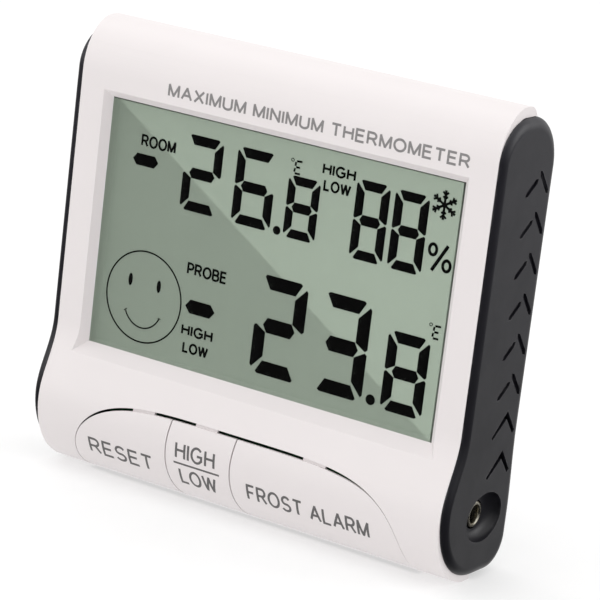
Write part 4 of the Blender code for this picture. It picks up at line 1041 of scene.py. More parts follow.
def printed(name, shape, surface_y, thickness, material, body, rows=0.4):
    """Turns flat lettering into a thin layer that follows a surface."""
    heights = [v.co.z for v in shape.verts]
    level = min(heights) + rows
    while rows and level < max(heights):
        bmesh.ops.bisect_plane(
            shape, geom=shape.verts[:] + shape.edges[:] + shape.faces[:], plane_co=(0, 0, level),
            plane_no=(0, 0, 1),
        )
        level += rows
    front = shape.faces[:]
    made = bmesh.ops.extrude_face_region(shape, geom=front)["geom"]
    raised = {v for v in made if isinstance(v, bmesh.types.BMVert)}
    for vertex in shape.verts:
        y = surface_y(vertex.co.z)
        if vertex in raised:
            y += vertex.co.y - thickness
        vertex.co = Vector((vertex.co.x, y, vertex.co.z)) * MM
    bmesh.ops.recalc_face_normals(shape, faces=shape.faces)
    obj = from_bmesh(name, shape)
    return finish_piece(obj, body, material)


# Printed words: low left corner, height, width and stroke weight.
HEADER = ("MAXIMUM MINIMUM THERMOMETER", (-26.7, 81.1), 2.65, 68.5, 0.46)
KEY_WORDS = {
    "reset_print": ("key_clear", (("RESET", (-35.1, 5.9), 3.6, 16.0, 0.5),)),
    "high_low_print": ("key_max_min", (
        ("HIGH", (-13.2, 10.95), 3.6, 9.6, 0.5), ("LOW", (-12.6, 5.4), 3.6, 9.0, 0.5),
    )),
    "frost_alarm_print": ("key_alarm", (("FROST ALARM", (3.8, 6.6), 3.6, 28.4, 0.5),)),
}
PRINT_BAR = ((-13.6, 9.8), (-2.6, 10.2))
PRINT_SKIN = 0.03
PRINT_GAP = 0.01


def make_prints():
    on_shell = lambda z: front_y(z) + PRINT_GAP
    on_key = lambda z: front_y(z) + KEY_INSET + PRINT_GAP
    header = lettering(*HEADER)
    printed("header_print", header, on_shell, PRINT_SKIN, HEAD_INK, "housing")
    for name, (body, words) in KEY_WORDS.items():
        shapes = [lettering(*word) for word in words]
        if len(words) > 1:
            (low_x, low_z), (high_x, high_z) = PRINT_BAR
            bar = bmesh.new()
            polygon(bar, [(low_x, low_z), (high_x, low_z), (high_x, high_z), (low_x, high_z)])
            shapes.append(bar)
        printed(name, merge(*shapes), on_key, PRINT_SKIN, KEY_INK, body)


# ---------------------------------------------------------------- display


def segment_shapes(width, height, thick):
    """The seven bars of a digit centred on the origin, by their usual letters."""
    w, h, t, s = width / 2, height / 2, thick, thick / 2.5
    top = [
        (-(w - 1.25 * s), h - 0.35 * s), (-(w - 1.65 * s), h), (w - 1.65 * s, h),
        (w - 1.25 * s, h - 0.35 * s), (w - 2.5 * s, h - t), (-(w - 2.5 * s), h - t),
    ]
    side = [
        (w - 0.35 * s, h - 0.95 * s), (w, h - 1.35 * s), (w, 0.5 * s), (w - 0.45 * s, 0.12 * s),
        (w - t, 1.3 * s), (w - t, h - t - 0.75 * s),
    ]
    middle = [
        (-(w - 1.85 * s), 0.0), (-(w - 2.65 * s), 0.54 * t), (w - 2.65 * s, 0.54 * t),
        (w - 1.85 * s, 0.0), (w - 2.65 * s, -0.54 * t), (-(w - 2.65 * s), -0.54 * t),
    ]
    flip_x = lambda points: [(-x, z) for x, z in points]
    flip_z = lambda points: [(x, -z) for x, z in points]
    return {
        "a": top, "b": side, "c": flip_z(side), "d": flip_z(top), "e": flip_x(flip_z(side)),
        "f": flip_x(side), "g": middle,
    }


BARS = {2: "abged", 3: "abgcd", 6: "afgedc", 8: "abcdefg"}


def add_digit(shape, value, low, high, thick):
    """A digit between its low left and high right corners."""
    bars = segment_shapes(high[0] - low[0], high[1] - low[1], thick)
    middle = ((low[0] + high[0]) / 2, (low[1] + high[1]) / 2)
    for name in BARS[value]:
        polygon(shape, [(x + middle[0], z + middle[1]) for x, z in bars[name]])


def add_dot(shape, centre, radius):
    polygon(shape, arc(centre, (radius, radius), 0, 345, 23))


def add_minus(shape, low, high):
    reach, middle = 0.4 * (high[1] - low[1]), (low[1] + high[1]) / 2
    polygon(shape, [
        (low[0], middle), (low[0] + reach, high[1]), (high[0] - reach, high[1]),
        (high[0], middle), (high[0] - reach, low[1]), (low[0] + reach, low[1]),
    ])


def add_unit(shape, corner):
    """A small degree ring and a unit letter made of bars, from their low left corner."""
    x, z = corner
    stroke(shape, arc((x + 0.4, z + 2.65), (0.3, 0.3), 0, 345, 23), 0.16, True)
    for points in (
        ((x + 1.35, z + 2.55), (x + 2.6, z + 2.62)),
        ((x + 1.2, z + 2.35), (x + 1.12, z + 1.6)),
        ((x + 1.3, z + 1.35), (x + 2.2, z + 1.4)),
        ((x + 1.08, z + 1.15), (x + 1.0, z + 0.4)),
        ((x + 1.15, z + 0.12), (x + 2.35, z + 0.15)),
    ):
        stroke(shape, points, 0.42)


FACE_CENTRE = (-29.5, 39.1)
FACE_RADII = (9.15, 9.35)
EYE_X = (-33.1, -26.1)
EYE_Z = 42.05
EYE_RADII = (0.5, 1.3)
SMILE_CENTRE = (-29.4, 37.6)
SMILE_RADII = (4.6, 4.9)


def make_comfort_face():
    """A round face that smiles while the humidity is comfortable."""
    shape = bmesh.new()
    stroke(shape, arc(FACE_CENTRE, FACE_RADII, 0, 355, 71), 0.32, True)
    for x in EYE_X:
        polygon(shape, arc((x, EYE_Z), EYE_RADII, 0, 345, 23))
    stroke(shape, arc(SMILE_CENTRE, SMILE_RADII, 206, 334, 32), 0.3)
    for side in (-1, 1):
        x, z = SMILE_CENTRE[0] + side * 4.2, SMILE_CENTRE[1] - 2.1
        stroke(shape, [(x - 0.35, z + 0.15 * side), (x + 0.35, z - 0.15 * side + 0.2)], 0.2)
    return shape


def make_snowflake(centre, reach):
    shape = bmesh.new()
    for i in range(6):
        turn = math.radians(60 * i + 90)
        out = Vector((math.cos(turn), math.sin(turn)))
        side = Vector((-out.y, out.x))
        start = Vector(centre)
        stroke(shape, [start + out * 0.25, start + out * reach], 0.5)
        for share, length in ((0.42, 0.24), (0.68, 0.30)):
            root = start + out * reach * share
            for way in (-1, 1):
                tip = root + (out + side * way * 1.1).normalized() * reach * length
                stroke(shape, [root, tip], 0.42)
    polygon(shape, arc(centre, (0.55, 0.55), 0, 345, 23))
    return shape


# The display's content, in XZ on the panel. Digits: value, low left and high right corner, thickness.
DIGITS = (
    (2, (-23.3, 58.9), (-14.3, 74.2), 2.0), (6, (-10.95, 58.9), (-1.75, 74.2), 2.0),
    (8, (1.3, 58.8), (8.65, 71.1), 1.8), (8, (16.6, 58.1), (24.1, 73.6), 1.9),
    (8, (25.2, 58.1), (32.75, 73.5), 1.9), (2, (-2.75, 30.5), (8.8, 50.5), 2.8),
    (3, (11.85, 30.6), (23.4, 50.5), 2.8), (8, (27.6, 30.6), (36.9, 46.5), 2.25),
)
DOTS = (((-0.1, 59.6), 0.87), ((25.4, 31.8), 1.05))
MINUS_SIGNS = (((-35.6, 65.4), (-29.4, 67.8)), ((-19.3, 38.5), (-12.2, 41.3)))
UNIT_MARKS = ((1.3, 71.4), (36.0, 46.9))
# Words: low left corner, height and width.
DISPLAY_WORDS = (
    ("ROOM", (-34.0, 69.3), 2.5, 8.4), ("PROBE", (-19.8, 46.2), 2.5, 9.6),
    ("HIGH", (8.6, 72.7), 2.3, 7.5), ("LOW", (9.2, 69.6), 2.3, 6.2),
    ("HIGH", (-19.6, 33.8), 2.3, 7.6), ("LOW", (-18.9, 30.3), 2.3, 6.2),
)
DISPLAY_WORD_WEIGHT = 0.46
FLAKE = ((35.9, 72.6), 2.85)
GLASS_THICK = 0.45
BACK_LAYER_Y = PANEL_LOW.y + 0.55
CONTENT_Y = PANEL_LOW.y + 0.53
CONTENT_THICK = 0.04


def make_digits():
    shape = bmesh.new()
    for digit in DIGITS:
        add_digit(shape, *digit)
    for dot in DOTS:
        add_dot(shape, *dot)
    for sign in MINUS_SIGNS:
        add_minus(shape, *sign)
    for corner in UNIT_MARKS:
        add_unit(shape, corner)
    return shape


def make_percent():
    shape = bmesh.new()
    stroke(shape, [(34.9, 59.8), (37.85, 65.1)], 0.7)
    for centre in ((34.7, 63.8), (38.0, 61.25)):
        stroke(shape, arc(centre, (0.8, 1.05), 0, 345, 23), 0.62, True)
    return shape


def make_display():
    """Panel, glass, and the black content that lies between them."""
    back = box("display_back", (PANEL_LOW.x, BACK_LAYER_Y, PANEL_LOW.z), tuple(PANEL_HIGH))
    soften(back, 0.12, 2)
    finish_piece(back, "housing", PANEL, ["lcd_panel"])
    glass_end = (PANEL_HIGH.x, PANEL_LOW.y + GLASS_THICK, PANEL_HIGH.z)
    glass = box("display_glass", tuple(PANEL_LOW), glass_end)
    soften(glass, 0.1, 2)
    finish_piece(glass, "housing", LENS)
    glass.visible_shadow = False
    words = [lettering(*word, DISPLAY_WORD_WEIGHT) for word in DISPLAY_WORDS]
    content = {
        "display_digits": make_digits(), "display_words": merge(*words),
        "comfort_face": make_comfort_face(), "humidity_sign": make_percent(),
        "frost_sign": make_snowflake(*FLAKE),
    }
    layer_y = lambda z: CONTENT_Y
    for name, shape in content.items():
        printed(name, shape, layer_y, CONTENT_THICK, SEGMENT_INK, "housing", rows=0)


def make_lens():
    lens = box("window_lens", tuple(LENS_LOW), tuple(LENS_HIGH))
    soften(lens, 0.2, 3)
    finish_piece(lens, "housing", LENS, ["lcd_lens"])
    lens.visible_shadow = False


# ---------------------------------------------------------------- rear shell


def cheek_outline(inset, back_inset, front_inset=0.0):
    """The D outline of the rear shell; its front follows the sleeve."""
    y, z, radius = CHEEK_LOW
    radius -= front_inset
    low_front = arc((y, z), (radius, radius), 268, 180, 26)
    front = CHEEK_CROWN[0] - CHEEK_CROWN[2] - 0.05 + front_inset
    blend = s_blend((y - radius, z), (front, CHEEK_BLEND_TOP_Z), 18)
    cy, cz, ry, rz = CHEEK_CROWN
    straight = [(front, CHEEK_BLEND_TOP_Z + (cz - CHEEK_BLEND_TOP_Z) * i / 12) for i in range(12)]
    crown = arc((cy, cz), (ry - front_inset, rz - inset), 180, 90, 20)
    ty, tz, top_ry, top_rz = BACK_TOP
    top = arc((ty, tz), (top_ry - back_inset, top_rz - inset), 90, 0, 22)
    by, bz, br = BACK_LOW
    low_back = arc((by, bz), (br - back_inset, br - inset), 0, -90, 16)
    bulge_y = by + br - back_inset
    back_y = ty + top_ry - back_inset
    back = [(back_y, tz - (tz - BACK_BLEND_TOP_Z) * i / 12) for i in range(1, 13)]
    back += s_blend((bulge_y, BACK_BULGE_Z), (back_y, BACK_BLEND_TOP_Z), 12)[::-1]
    return low_front + blend + straight + crown + top + back + low_back


def inward_normals(outline):
    """Each corner's direction towards the inside of a closed outline."""
    count = len(outline)
    normals = []
    for i in range(count):
        run = Vector(outline[(i + 1) % count]) - Vector(outline[i - 1])
        normals.append(Vector((run.y, -run.x)).normalized())
    turned_left = sum(a[0] * b[1] - b[0] * a[1] for a, b in zip(outline, outline[1:] + outline[:1])) > 0
    return [-n for n in normals] if turned_left else normals


def crowned_slab(name, outline, half):
    """A prism along X whose two end faces are crowned like the cheeks."""
    inward = inward_normals(outline)
    shape = bmesh.new()
    layers = []
    for side, (depth, (front, back, top, low)) in zip((-1, 1), CHEEK_CROWNS):
        rows = []
        for i in range(CROWN_STEPS + 1):
            angle = math.radians(90 * i / CROWN_STEPS)
            share = 1 - math.sin(angle)
            x = side * (half - depth * (1 - math.cos(angle)))
            row = []
            for point, normal in zip(outline, inward):
                across = (back if normal.x < 0 else front) * normal.x**2
                along = (low if normal.y > 0 else top) * normal.y**2
                moved = Vector(point) + normal * (across + along) * share
                row.append(shape.verts.new(Vector((x, moved.x, moved.y)) * MM))
            rows.append(row)
        layers += rows if side < 0 else rows[::-1]
    skin(shape, layers)
    return from_bmesh(name, shape)


def pointed_bar(start, end):
    """The outline of a groove bar with pointed ends, from start to end."""
    run = (end - start).normalized()
    side = Vector((-run.y, run.x)) * GROOVE_WIDTH / 2
    tip = run * GROOVE_WIDTH * 0.5
    outline = [start - tip * 0.4, start + tip + side, end - tip + side, end + tip * 0.4]
    return outline + [end - tip - side, start + tip - side]


def make_grooves(outline, rows, depth):
    """Some rows of grooves as one cutter: bars, less a slab one groove depth below the surface."""
    shape = bmesh.new()
    near, far = CHEEK_HALF - 2.5, CHEEK_HALF + 1.0
    for row in rows:
        base = Vector((GROOVE_START[0], GROOVE_START[1] - GROOVE_PITCH * row))
        if row < GROOVE_ROWS - GROOVE_WHOLE:
            bars = [
                pointed_bar(base + Vector(start), base + Vector(end))
                for start, end in (GROOVE_FRONT, GROOVE_REAR)
            ]
        else:
            bars = [[base + Vector(p) for p in GROOVE_CHEVRON]]
        for bar in bars:
            for ends in ((-far, -near), (near, far)):
                add_prism(shape, bar, ends)
    return cut(from_bmesh("groove_bars", shape), crowned_slab("groove_core", outline, CHEEK_HALF - depth))


def make_dish():
    """The oval bowl round the jack, from the throat's rim out to the cheek's face."""
    low_x = RING_HIGH.x - 0.3
    profile = [(low_x, 0.0)]
    for i in range(DISH_STEPS + 1):
        turn = math.pi / 2 * i / DISH_STEPS
        x = low_x + (CHEEK_HALF - low_x) * (1 - math.cos(turn))
        profile.append((x, THROAT_R - 0.05 + (DISH_R - THROAT_R + 0.05) * math.sin(turn)))
    profile += [(CHEEK_HALF + 0.6, DISH_R), (CHEEK_HALF + 0.6, 0.0)]
    dish = turned("jack_dish", "X", (JACK_Y, JACK_Z), profile)
    for vertex in dish.data.vertices:
        across = vertex.co.y / MM - JACK_Y
        share = (math.hypot(across, vertex.co.z / MM - JACK_Z) - THROAT_R) / (DISH_R - THROAT_R)
        vertex.co.y += across * MM * (DISH_STRETCH - 1) * max(share, 0.0)
    return dish


def inside_solids(inside_y):
    """What the rear wall carries inside: bay, niche, keyhole pocket and pillars; and its two feet."""
    solids = [
        box("bay", (TAB_END_X - BAY_WALL, BAY_Y - 1.0, BAY_Z[0] - BAY_WALL),
            (BAY_X[1] + BAY_WALL, inside_y, BAY_Z[1] + BAY_WALL)),
        box("niche_back", (-NICHE_BACK_HALF, NICHE_FLOOR_Y - NICHE_BACK_THICK, NICHE_BACK_Z[0]),
            (NICHE_BACK_HALF, inside_y, NICHE_BACK_Z[1])),
        box("hook_pocket", (-HOOK_POCKET_HALF, HOOK_ROOM_Y - HOOK_WALL, HOOK_ROOM_Z[0] - HOOK_WALL),
            (HOOK_POCKET_HALF, inside_y, HOOK_ROOM_Z[1] + HOOK_WALL)),
    ]
    for side in (-1, 1):
        x = side * FOOT_X
        low = (x - FOOT_HALF[0], FOOT_Y - FOOT_HALF[1], 0.0)
        foot = box("foot", low, (x + FOOT_HALF[0], FOOT_Y + FOOT_HALF[1], FOOT_HIGH))
        solids.append(soften(foot, 0.5, 3))
    for place in CASE_SCREWS:
        solids.append(rod("pillar", "Y", place, PILLAR_R, (PILLAR_Y, inside_y), 40))
    return solids


def back_holes():
    """Everything cut through or into the rear wall."""
    holes = []
    for place in CASE_SCREWS:
        holes.append(rod("screw_hole", "Y", place, SCREW_HOLE_R, (-1, PAST_Y), 32))
        holes.append(rod("counterbore", "Y", place, COUNTERBORE_R, (COUNTERBORE_Y, PAST_Y), 48))
    through = (HOLES_START_Y, PAST_Y)
    half = STAND_HALF + GAP
    room_high = (HOOK_ROOM_HALF, BACK_Y - BACK_WALL, HOOK_ROOM_Z[1])
    holes += [
        box("bay_room", (BAY_X[0], BAY_Y, BAY_Z[0]), (BAY_X[1], PAST_Y, BAY_Z[1])),
        box("tab_room", (TAB_END_X, DOOR_SEAT_Y - TAB_ROOM_DEPTH, BAY_Z[0]), (0, DOOR_SEAT_Y, BAY_Z[1])),
        box("door_room", (-DOOR_HALF - GAP, DOOR_SEAT_Y, DOOR_Z[0] - GAP),
            (DOOR_HALF + GAP, PAST_Y, DOOR_Z[1] + GAP)),
        rod("door_finger", "Z", DOOR_FINGER[:2], DOOR_FINGER[2], DOOR_FINGER_Z, 64),
        box("niche", (-half, NICHE_FLOOR_Y, STAND_LOW.z - GAP), (half, PAST_Y, STAND_HIGH.z + 1.6)),
        rod("pin_room", "X", STAND_AXIS, PIN_ROOM[1], (-PIN_ROOM[0], PIN_ROOM[0]), 32),
        rod("stand_finger", "X", STAND_FINGER[:2], STAND_FINGER[2],
            (-STAND_FINGER_HALF, STAND_FINGER_HALF), 64),
        box("hook_room", (-HOOK_ROOM_HALF, HOOK_ROOM_Y, HOOK_ROOM_Z[0]), room_high),
        rod("hook_hole", "Y", (0, KEYHOLE_Z), KEYHOLE_R, through, 64),
        box("hook_slot", (-SLOT_R, HOLES_START_Y, KEYHOLE_Z), (SLOT_R, PAST_Y, SLOT_TOP_Z)),
        rod("hook_top", "Y", (0, SLOT_TOP_Z), SLOT_R, through, 48),
        rod("unit_hole", "Y", (UNIT_X, UNIT_Z), UNIT_R + GAP, through, 48),
        rod("sound_hole", "Y", BEEPER, SOUND_HOLE_R, through, 32),
    ]
    ring = (BEEPER_RING_R, BEEPER_RING_R)
    for place in arc(BEEPER, ring, 0, 300, 5):
        holes.append(rod("sound_hole", "Y", place, SOUND_HOLE_R, through, 32))
    for i in range(VENT_COUNT):
        z = VENT_Z + VENT_PITCH * i
        holes.append(box("vent", (VENT_X[0], HOLES_START_Y, z), (VENT_X[1], PAST_Y, z + VENT_WIDTH)))
    for x in TAIL_PLACES_X:
        holes.append(box("tail_room", (x - TAIL_HALF, 3.0, 44.0), (x + TAIL_HALF, 6.0, 50.0)))
    return holes


def make_rear_shell():
    outline = cheek_outline(0.0, 0.0)
    shell = crowned_slab("rear_case", outline, CHEEK_HALF)
    cavity = prism("cavity", cheek_outline(BACK_WALL, BACK_WALL, 1.0), (-CAVITY_HALF, CAVITY_HALF))
    mouth = box("mouth", (-CAVITY_HALF, -20, -5), (CAVITY_HALF, 2.2, 100))
    band = sleeve_band(-1.5, SHELL_WALL + SEAM, BASE_BACK_Y + SEAM, LIP_BACK_Y + SEAM)
    sleeve_room = prism("sleeve_room", band, (-SHELL_HALF - SEAM, SHELL_HALF + SEAM))
    shallow_rows = GROOVE_ROWS - GROOVE_WHOLE
    shallow = make_grooves(outline, range(shallow_rows), GROOVE_SHALLOW)
    deep = make_grooves(outline, range(shallow_rows, GROOVE_ROWS), GROOVE_DEEP)
    throat = rod("jack_throat", "X", (JACK_Y, JACK_Z), THROAT_R, (44, 50), 64)
    cut(shell, cavity, mouth, sleeve_room, shallow, deep, throat, make_dish())
    join(shell, *inside_solids(BACK_Y - BACK_WALL + 0.5))
    cut(shell, *back_holes())
    clean(shell)
    soften(shell, 0.2, 2)
    finish_piece(shell, "housing", DARK, ["rear_shell"])


# ---------------------------------------------------------------- back pieces and fittings


def make_door():
    """The battery door: two tabs at its hinge end, a latch, and a grip of ridges with an arrow."""
    low_z, high_z = DOOR_Z
    low = (-DOOR_HALF, BACK_Y - DOOR_THICK, low_z)
    door = box("battery_door_cover", low, (DOOR_HALF, BACK_Y, high_z))
    root_y = BACK_Y - 1.0
    extras = []
    for z in TAB_PLACES_Z:
        extras.append(box("tab", (-28.4, BACK_Y - 3.3, z), (-25.0, BACK_Y - 2.3, z + TAB_HIGH)))
        extras.append(box("tab_root", (-26.6, BACK_Y - 2.8, z + 0.2), (-25.2, root_y, z + TAB_HIGH - 0.2)))
    extras.append(box("latch", (25.0, BACK_Y - 4.4, 51.6), (25.9, root_y, 57.4)))
    join(door, *extras)
    over_y = BACK_Y + 1.0
    grip = []
    for i in range(RIDGE_COUNT):
        x = RIDGE_X + RIDGE_PITCH * i
        low = (x, BACK_Y - RIDGE_DEPTH, RIDGE_Z[0])
        grip.append(box("ridge", low, (x + RIDGE_WIDTH, over_y, RIDGE_Z[1])))
    grip.append(prism("arrow", ARROW, (BACK_Y - ARROW_DEPTH, over_y), "XZ"))
    cut(door, *grip)
    clean(door)
    soften(door, 0.25, 3)
    finish_piece(door, "battery_door", DARK, ["battery_door"])


def make_stand():
    """A flat leg on two pins, with a sunk panel."""
    low = (-STAND_HALF, BACK_Y - STAND_THICK, STAND_LOW.z)
    stand = box("stand_leg", low, (STAND_HALF, BACK_Y, STAND_HIGH.z))
    join(stand, rod("stand_pin", "X", STAND_AXIS, PIN_R, (-PIN_HALF, PIN_HALF), 32))
    low = (-STAND_PANEL_HALF, BACK_Y - 0.5, STAND_PANEL_Z[0])
    panel = box("stand_panel", low, (STAND_PANEL_HALF, BACK_Y + 1.0, STAND_PANEL_Z[1]))
    soften(panel, 0.4, 2)
    cut(stand, panel)
    clean(stand)
    soften(stand, 0.35, 3)
    finish_piece(stand, "stand", DARK, ["stand"])


def make_unit_button():
    """A round button with a retaining flange, a stem and a dished face."""
    top = BACK_Y - 0.1
    flange_r, stem_r = 3.4, 1.5
    flange = (8.4, 9.6)
    profile = [
        (BUTTON_LOW.y, 0.0), (BUTTON_LOW.y, stem_r), (flange[0], stem_r), (flange[0], flange_r),
        (flange[1], flange_r), (flange[1], UNIT_R), (top - 0.4, UNIT_R), (top - 0.1, UNIT_R - 0.12),
        (top, UNIT_R - 0.45), (top - 0.2, 1.2), (top - 0.3, 0.0),
    ]
    button = turned("unit_button_cap", "Y", (UNIT_X, UNIT_Z), profile)
    finish_piece(button, "unit_button", DARK_SMOOTH, ["unit_button"])


# Case screws: thread and pan head.
HEAD_HIGH = 1.5
THREAD_PITCH = 0.45
THREAD_RADII = (0.72, 0.95)
THREAD_START = 1.2
CROSS_HALF = 0.28


def make_screw(name):
    low, high = span(name)
    x, z = (low.x + high.x) / 2, (low.z + high.z) / 2
    radius = (high.x - low.x) / 2
    seat = high.y - HEAD_HIGH
    root, crest = THREAD_RADII
    profile = [(low.y, 0.0), (low.y + 0.3, 0.35), (low.y + 1.0, crest)]
    for i in range(int((seat - low.y - THREAD_START) / THREAD_PITCH)):
        place = low.y + THREAD_START + THREAD_PITCH * i
        profile += [(place, root), (place + 0.22, crest)]
    profile += [(seat, crest), (seat, radius - 0.15), (seat + 0.15, radius)]
    profile += [(seat + 0.7, radius * 0.97), (seat + 1.15, radius * 0.8)]
    profile += [(seat + 1.42, radius * 0.5), (seat + HEAD_HIGH, 0.0)]
    screw = turned(name + "_pan_head", "Y", (x, z), profile, 48)
    arm = radius * 0.55
    cross = []
    for half_x, half_z in ((arm, CROSS_HALF), (CROSS_HALF, arm)):
        cross.append(box("cross", (x - half_x, seat + 0.7, z - half_z), (x + half_x, seat + 3, z + half_z)))
    cut(screw, *cross)
    finish_piece(screw, "housing", STEEL, [name], 35)


def make_jack():
    """The metal ring at the bottom of the dish, rounded at its rim and at its bore."""
    outer, bore = RING_HIGH.y - JACK_Y, 1.8
    first, last = RING_LOW.x, RING_HIGH.x
    profile = [
        (first, outer - 0.1), (first + 0.1, outer), (last - 0.35, outer), (last - 0.1, outer - 0.1),
        (last, outer - 0.3), (last, bore + 0.25), (last - 0.15, bore + 0.08), (last - 0.4, bore),
        (first, bore),
    ]
    ring = turned("jack_collar", "X", (JACK_Y, JACK_Z), profile + profile[:1], 64)
    # The profile closes on itself, so the end rings are joined and their caps removed.
    shape = bmesh.new()
    shape.from_mesh(ring.data)
    bmesh.ops.remove_doubles(shape, verts=shape.verts, dist=1e-7)
    inner = [f for f in shape.faces if len(f.verts) > 4]
    bmesh.ops.delete(shape, geom=inner, context="FACES_ONLY")
    bmesh.ops.recalc_face_normals(shape, faces=shape.faces)
    shape.to_mesh(ring.data)
    shape.free()
    finish_piece(ring, "housing", NICKEL, ["jack_ring"])


CELL_CENTRE = ((CELL_LOW.y + CELL_HIGH.y) / 2, (CELL_LOW.z + CELL_HIGH.z) / 2)
CELL_BAND_LENGTH = 11.0
CELL_NUB = 0.9


def make_cell():
    """The AAA cell: a foil sleeve with a plain band, shrunk over the rims, and bare metal ends."""
    radius = CELL_HIGH.z - CELL_CENTRE[1]
    start, nub_end = CELL_LOW.x, CELL_HIGH.x
    body_end = nub_end - CELL_NUB
    band_x = body_end - CELL_BAND_LENGTH
    profile = [
        (start, 0.0), (start, radius - 0.9), (start + 0.12, radius - 0.35), (start + 0.5, radius),
        (band_x - 0.1, radius), (band_x, radius - 0.03), (band_x + 0.1, radius),
        (body_end - 0.7, radius), (body_end - 0.2, radius - 0.3), (body_end, radius - 1.0),
        (body_end, 1.95), (nub_end - 0.25, 1.9), (nub_end, 1.6), (nub_end, 0.0),
    ]
    cell = turned("aaa_cell", "X", CELL_CENTRE, profile)
    finish_piece(cell, "housing", CELL_FOIL, ["battery_aaa"])
    cell.data.materials.append(STEEL)
    cell.data.materials.append(CELL_BAND)
    for face in cell.data.polygons:
        x, y, z = face.center / MM
        if math.hypot(y - CELL_CENTRE[0], z - CELL_CENTRE[1]) < radius - 0.7:
            face.material_index = 1
        elif x > band_x:
            face.material_index = 2


# Contact spring: wire radius, first and last coil radius, turns.
SPRING_WIRE_R = 0.35
SPRING_RADII = (3.8, 2.8)
SPRING_TURNS = 3.5
SPRING_STEPS = 32


def make_spring():
    """The tapering contact spring of the battery bay."""
    low, high = span("battery_spring")
    curve = bpy.data.curves.new("bay_spring", "CURVE")
    curve.dimensions = "3D"
    curve.bevel_depth = SPRING_WIRE_R * MM
    curve.bevel_resolution = 4
    curve.use_fill_caps = True
    spline = curve.splines.new("POLY")
    count = int(SPRING_TURNS * SPRING_STEPS) + 1
    spline.points.add(count - 1)
    wide, narrow = SPRING_RADII
    for i, point in enumerate(spline.points):
        share = i / (count - 1)
        angle = 2 * math.pi * i / SPRING_STEPS
        radius = wide + (narrow - wide) * share
        x = low.x + SPRING_WIRE_R + (high.x - low.x - 2 * SPRING_WIRE_R) * share
        y = CELL_CENTRE[0] + radius * math.cos(angle)
        z = CELL_CENTRE[1] + radius * math.sin(angle)
        point.co = (x * MM, y * MM, z * MM, 1.0)
    spring = add_object("bay_spring", curve)
    curve.materials.append(STEEL)
    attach(spring, "housing")
    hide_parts("battery_spring")


# Polarity signs: middle and half sizes of the bars.
SIGN_Z = 61.3
SIGN_LONG = 0.6
SIGN_THIN = 0.15
SIGN_RAISED = 0.12


def make_polarity():
    """Raised plus and minus signs on the ledge beside the battery bay."""
    low_y, high_y = DOOR_SEAT_Y - 0.2, DOOR_SEAT_Y + SIGN_RAISED
    for name, x in (("plus_mark", 24.0), ("minus_mark", -22.5)):
        low = (x - SIGN_LONG, low_y, SIGN_Z - SIGN_THIN)
        mark = box(name, low, (x + SIGN_LONG, high_y, SIGN_Z + SIGN_THIN))
        if name == "plus_mark":
            low = (x - SIGN_THIN, low_y - 0.05, SIGN_Z - SIGN_LONG)
            join(mark, box("arm", low, (x + SIGN_THIN, high_y, SIGN_Z + SIGN_LONG)))
            clean(mark)
        finish_piece(mark, "housing", DARK)


def dress_cad_nodes():
    """Gives every CAD node that stays its procedural material."""
    by_slot = {
        "warm_white_plastic": WHITE, "charcoal_plastic": DARK_SMOOTH, "clear_lens": LENS,
        "lcd_glass": PANEL, "natural_plastic": NATURAL, "grey_rubber": RUBBER,
        "board_green": BOARD, "black_epoxy": EPOXY, "plated_steel": STEEL, "brass": BRASS,
        "cell_label": CELL_FOIL, "capacitor_sleeve": CAN, "wire_red": RED, "wire_black": BLACK,
    }
    for part in frame["record"]["subparts"]:
        for place in NODES[part["node"]].material_slots:
            place.material = by_slot[part["material_slot"]]


# ---------------------------------------------------------------- stage


CAMERA_LENS = 173.4
CAMERA_PLACE = (0.288972, -0.468569, 0.186592)
CAMERA_BACK = (0.50384, -0.82714, 0.24898)
CAMERA_RIGHT = (0.83228, 0.54200, 0.11640)

# Area lights: place in metres, side length and strength. They all point at the case.
LIGHT_TARGET = (0.0, 0.0, 0.05)
AREA_LIGHTS = {
    "top": ((-0.25, -0.1, 0.9), 0.9, 1.0),
    "front": ((-0.5, -0.9, 0.4), 0.8, 0.3),
    "rim": ((0.75, 0.55, 0.35), 0.5, 1.6),
}
SIDE_FILL = ((0.62, -0.76, 0.12), 0.5, 2.2)

# The display's own light: the bright diagonal's ends in XZ, where it comes from, its two strengths.
DIAGONAL = ((-40.9, 77.9), (37.9, 28.1))
WINDOW_LIGHT_WAY = (0.52, -0.82, 0.24)
WINDOW_LIGHT_DISTANCE = 1.0
WINDOW_FILL = 0.82
WINDOW_SHINE = 0.42
DIAGONAL_BLUR = 0.0002

# The studio's brightness by direction.
WORLD_COLOR = (1.0, 0.995, 0.99, 1.0)
WORLD_LOW = 0.02
WORLD_LOW_BACK = 1.0
WORLD_HIGH = 0.98
HORIZON = (-0.05, 0.15)
BRIGHT_SIDE = (-0.65, 0.76, 0.0)
BRIGHT_RANGE = (0.113, 0.65)
CAMERA_SIDE = (0.62, -0.76, 0.12)
CAMERA_RANGE = (0.62, 0.95)
CAMERA_SIDE_DIM = 0.25


def make_camera():
    data = bpy.data.cameras.new("camera")
    data.lens = CAMERA_LENS
    data.sensor_width = 36.0
    camera = add_object("camera", data)
    back = Vector(CAMERA_BACK).normalized()
    right = Vector(CAMERA_RIGHT).normalized()
    turn = Matrix((right, back.cross(right), back)).transposed().to_4x4()
    camera.matrix_world = Matrix.Translation(CAMERA_PLACE) @ turn
    bpy.context.scene.camera = camera


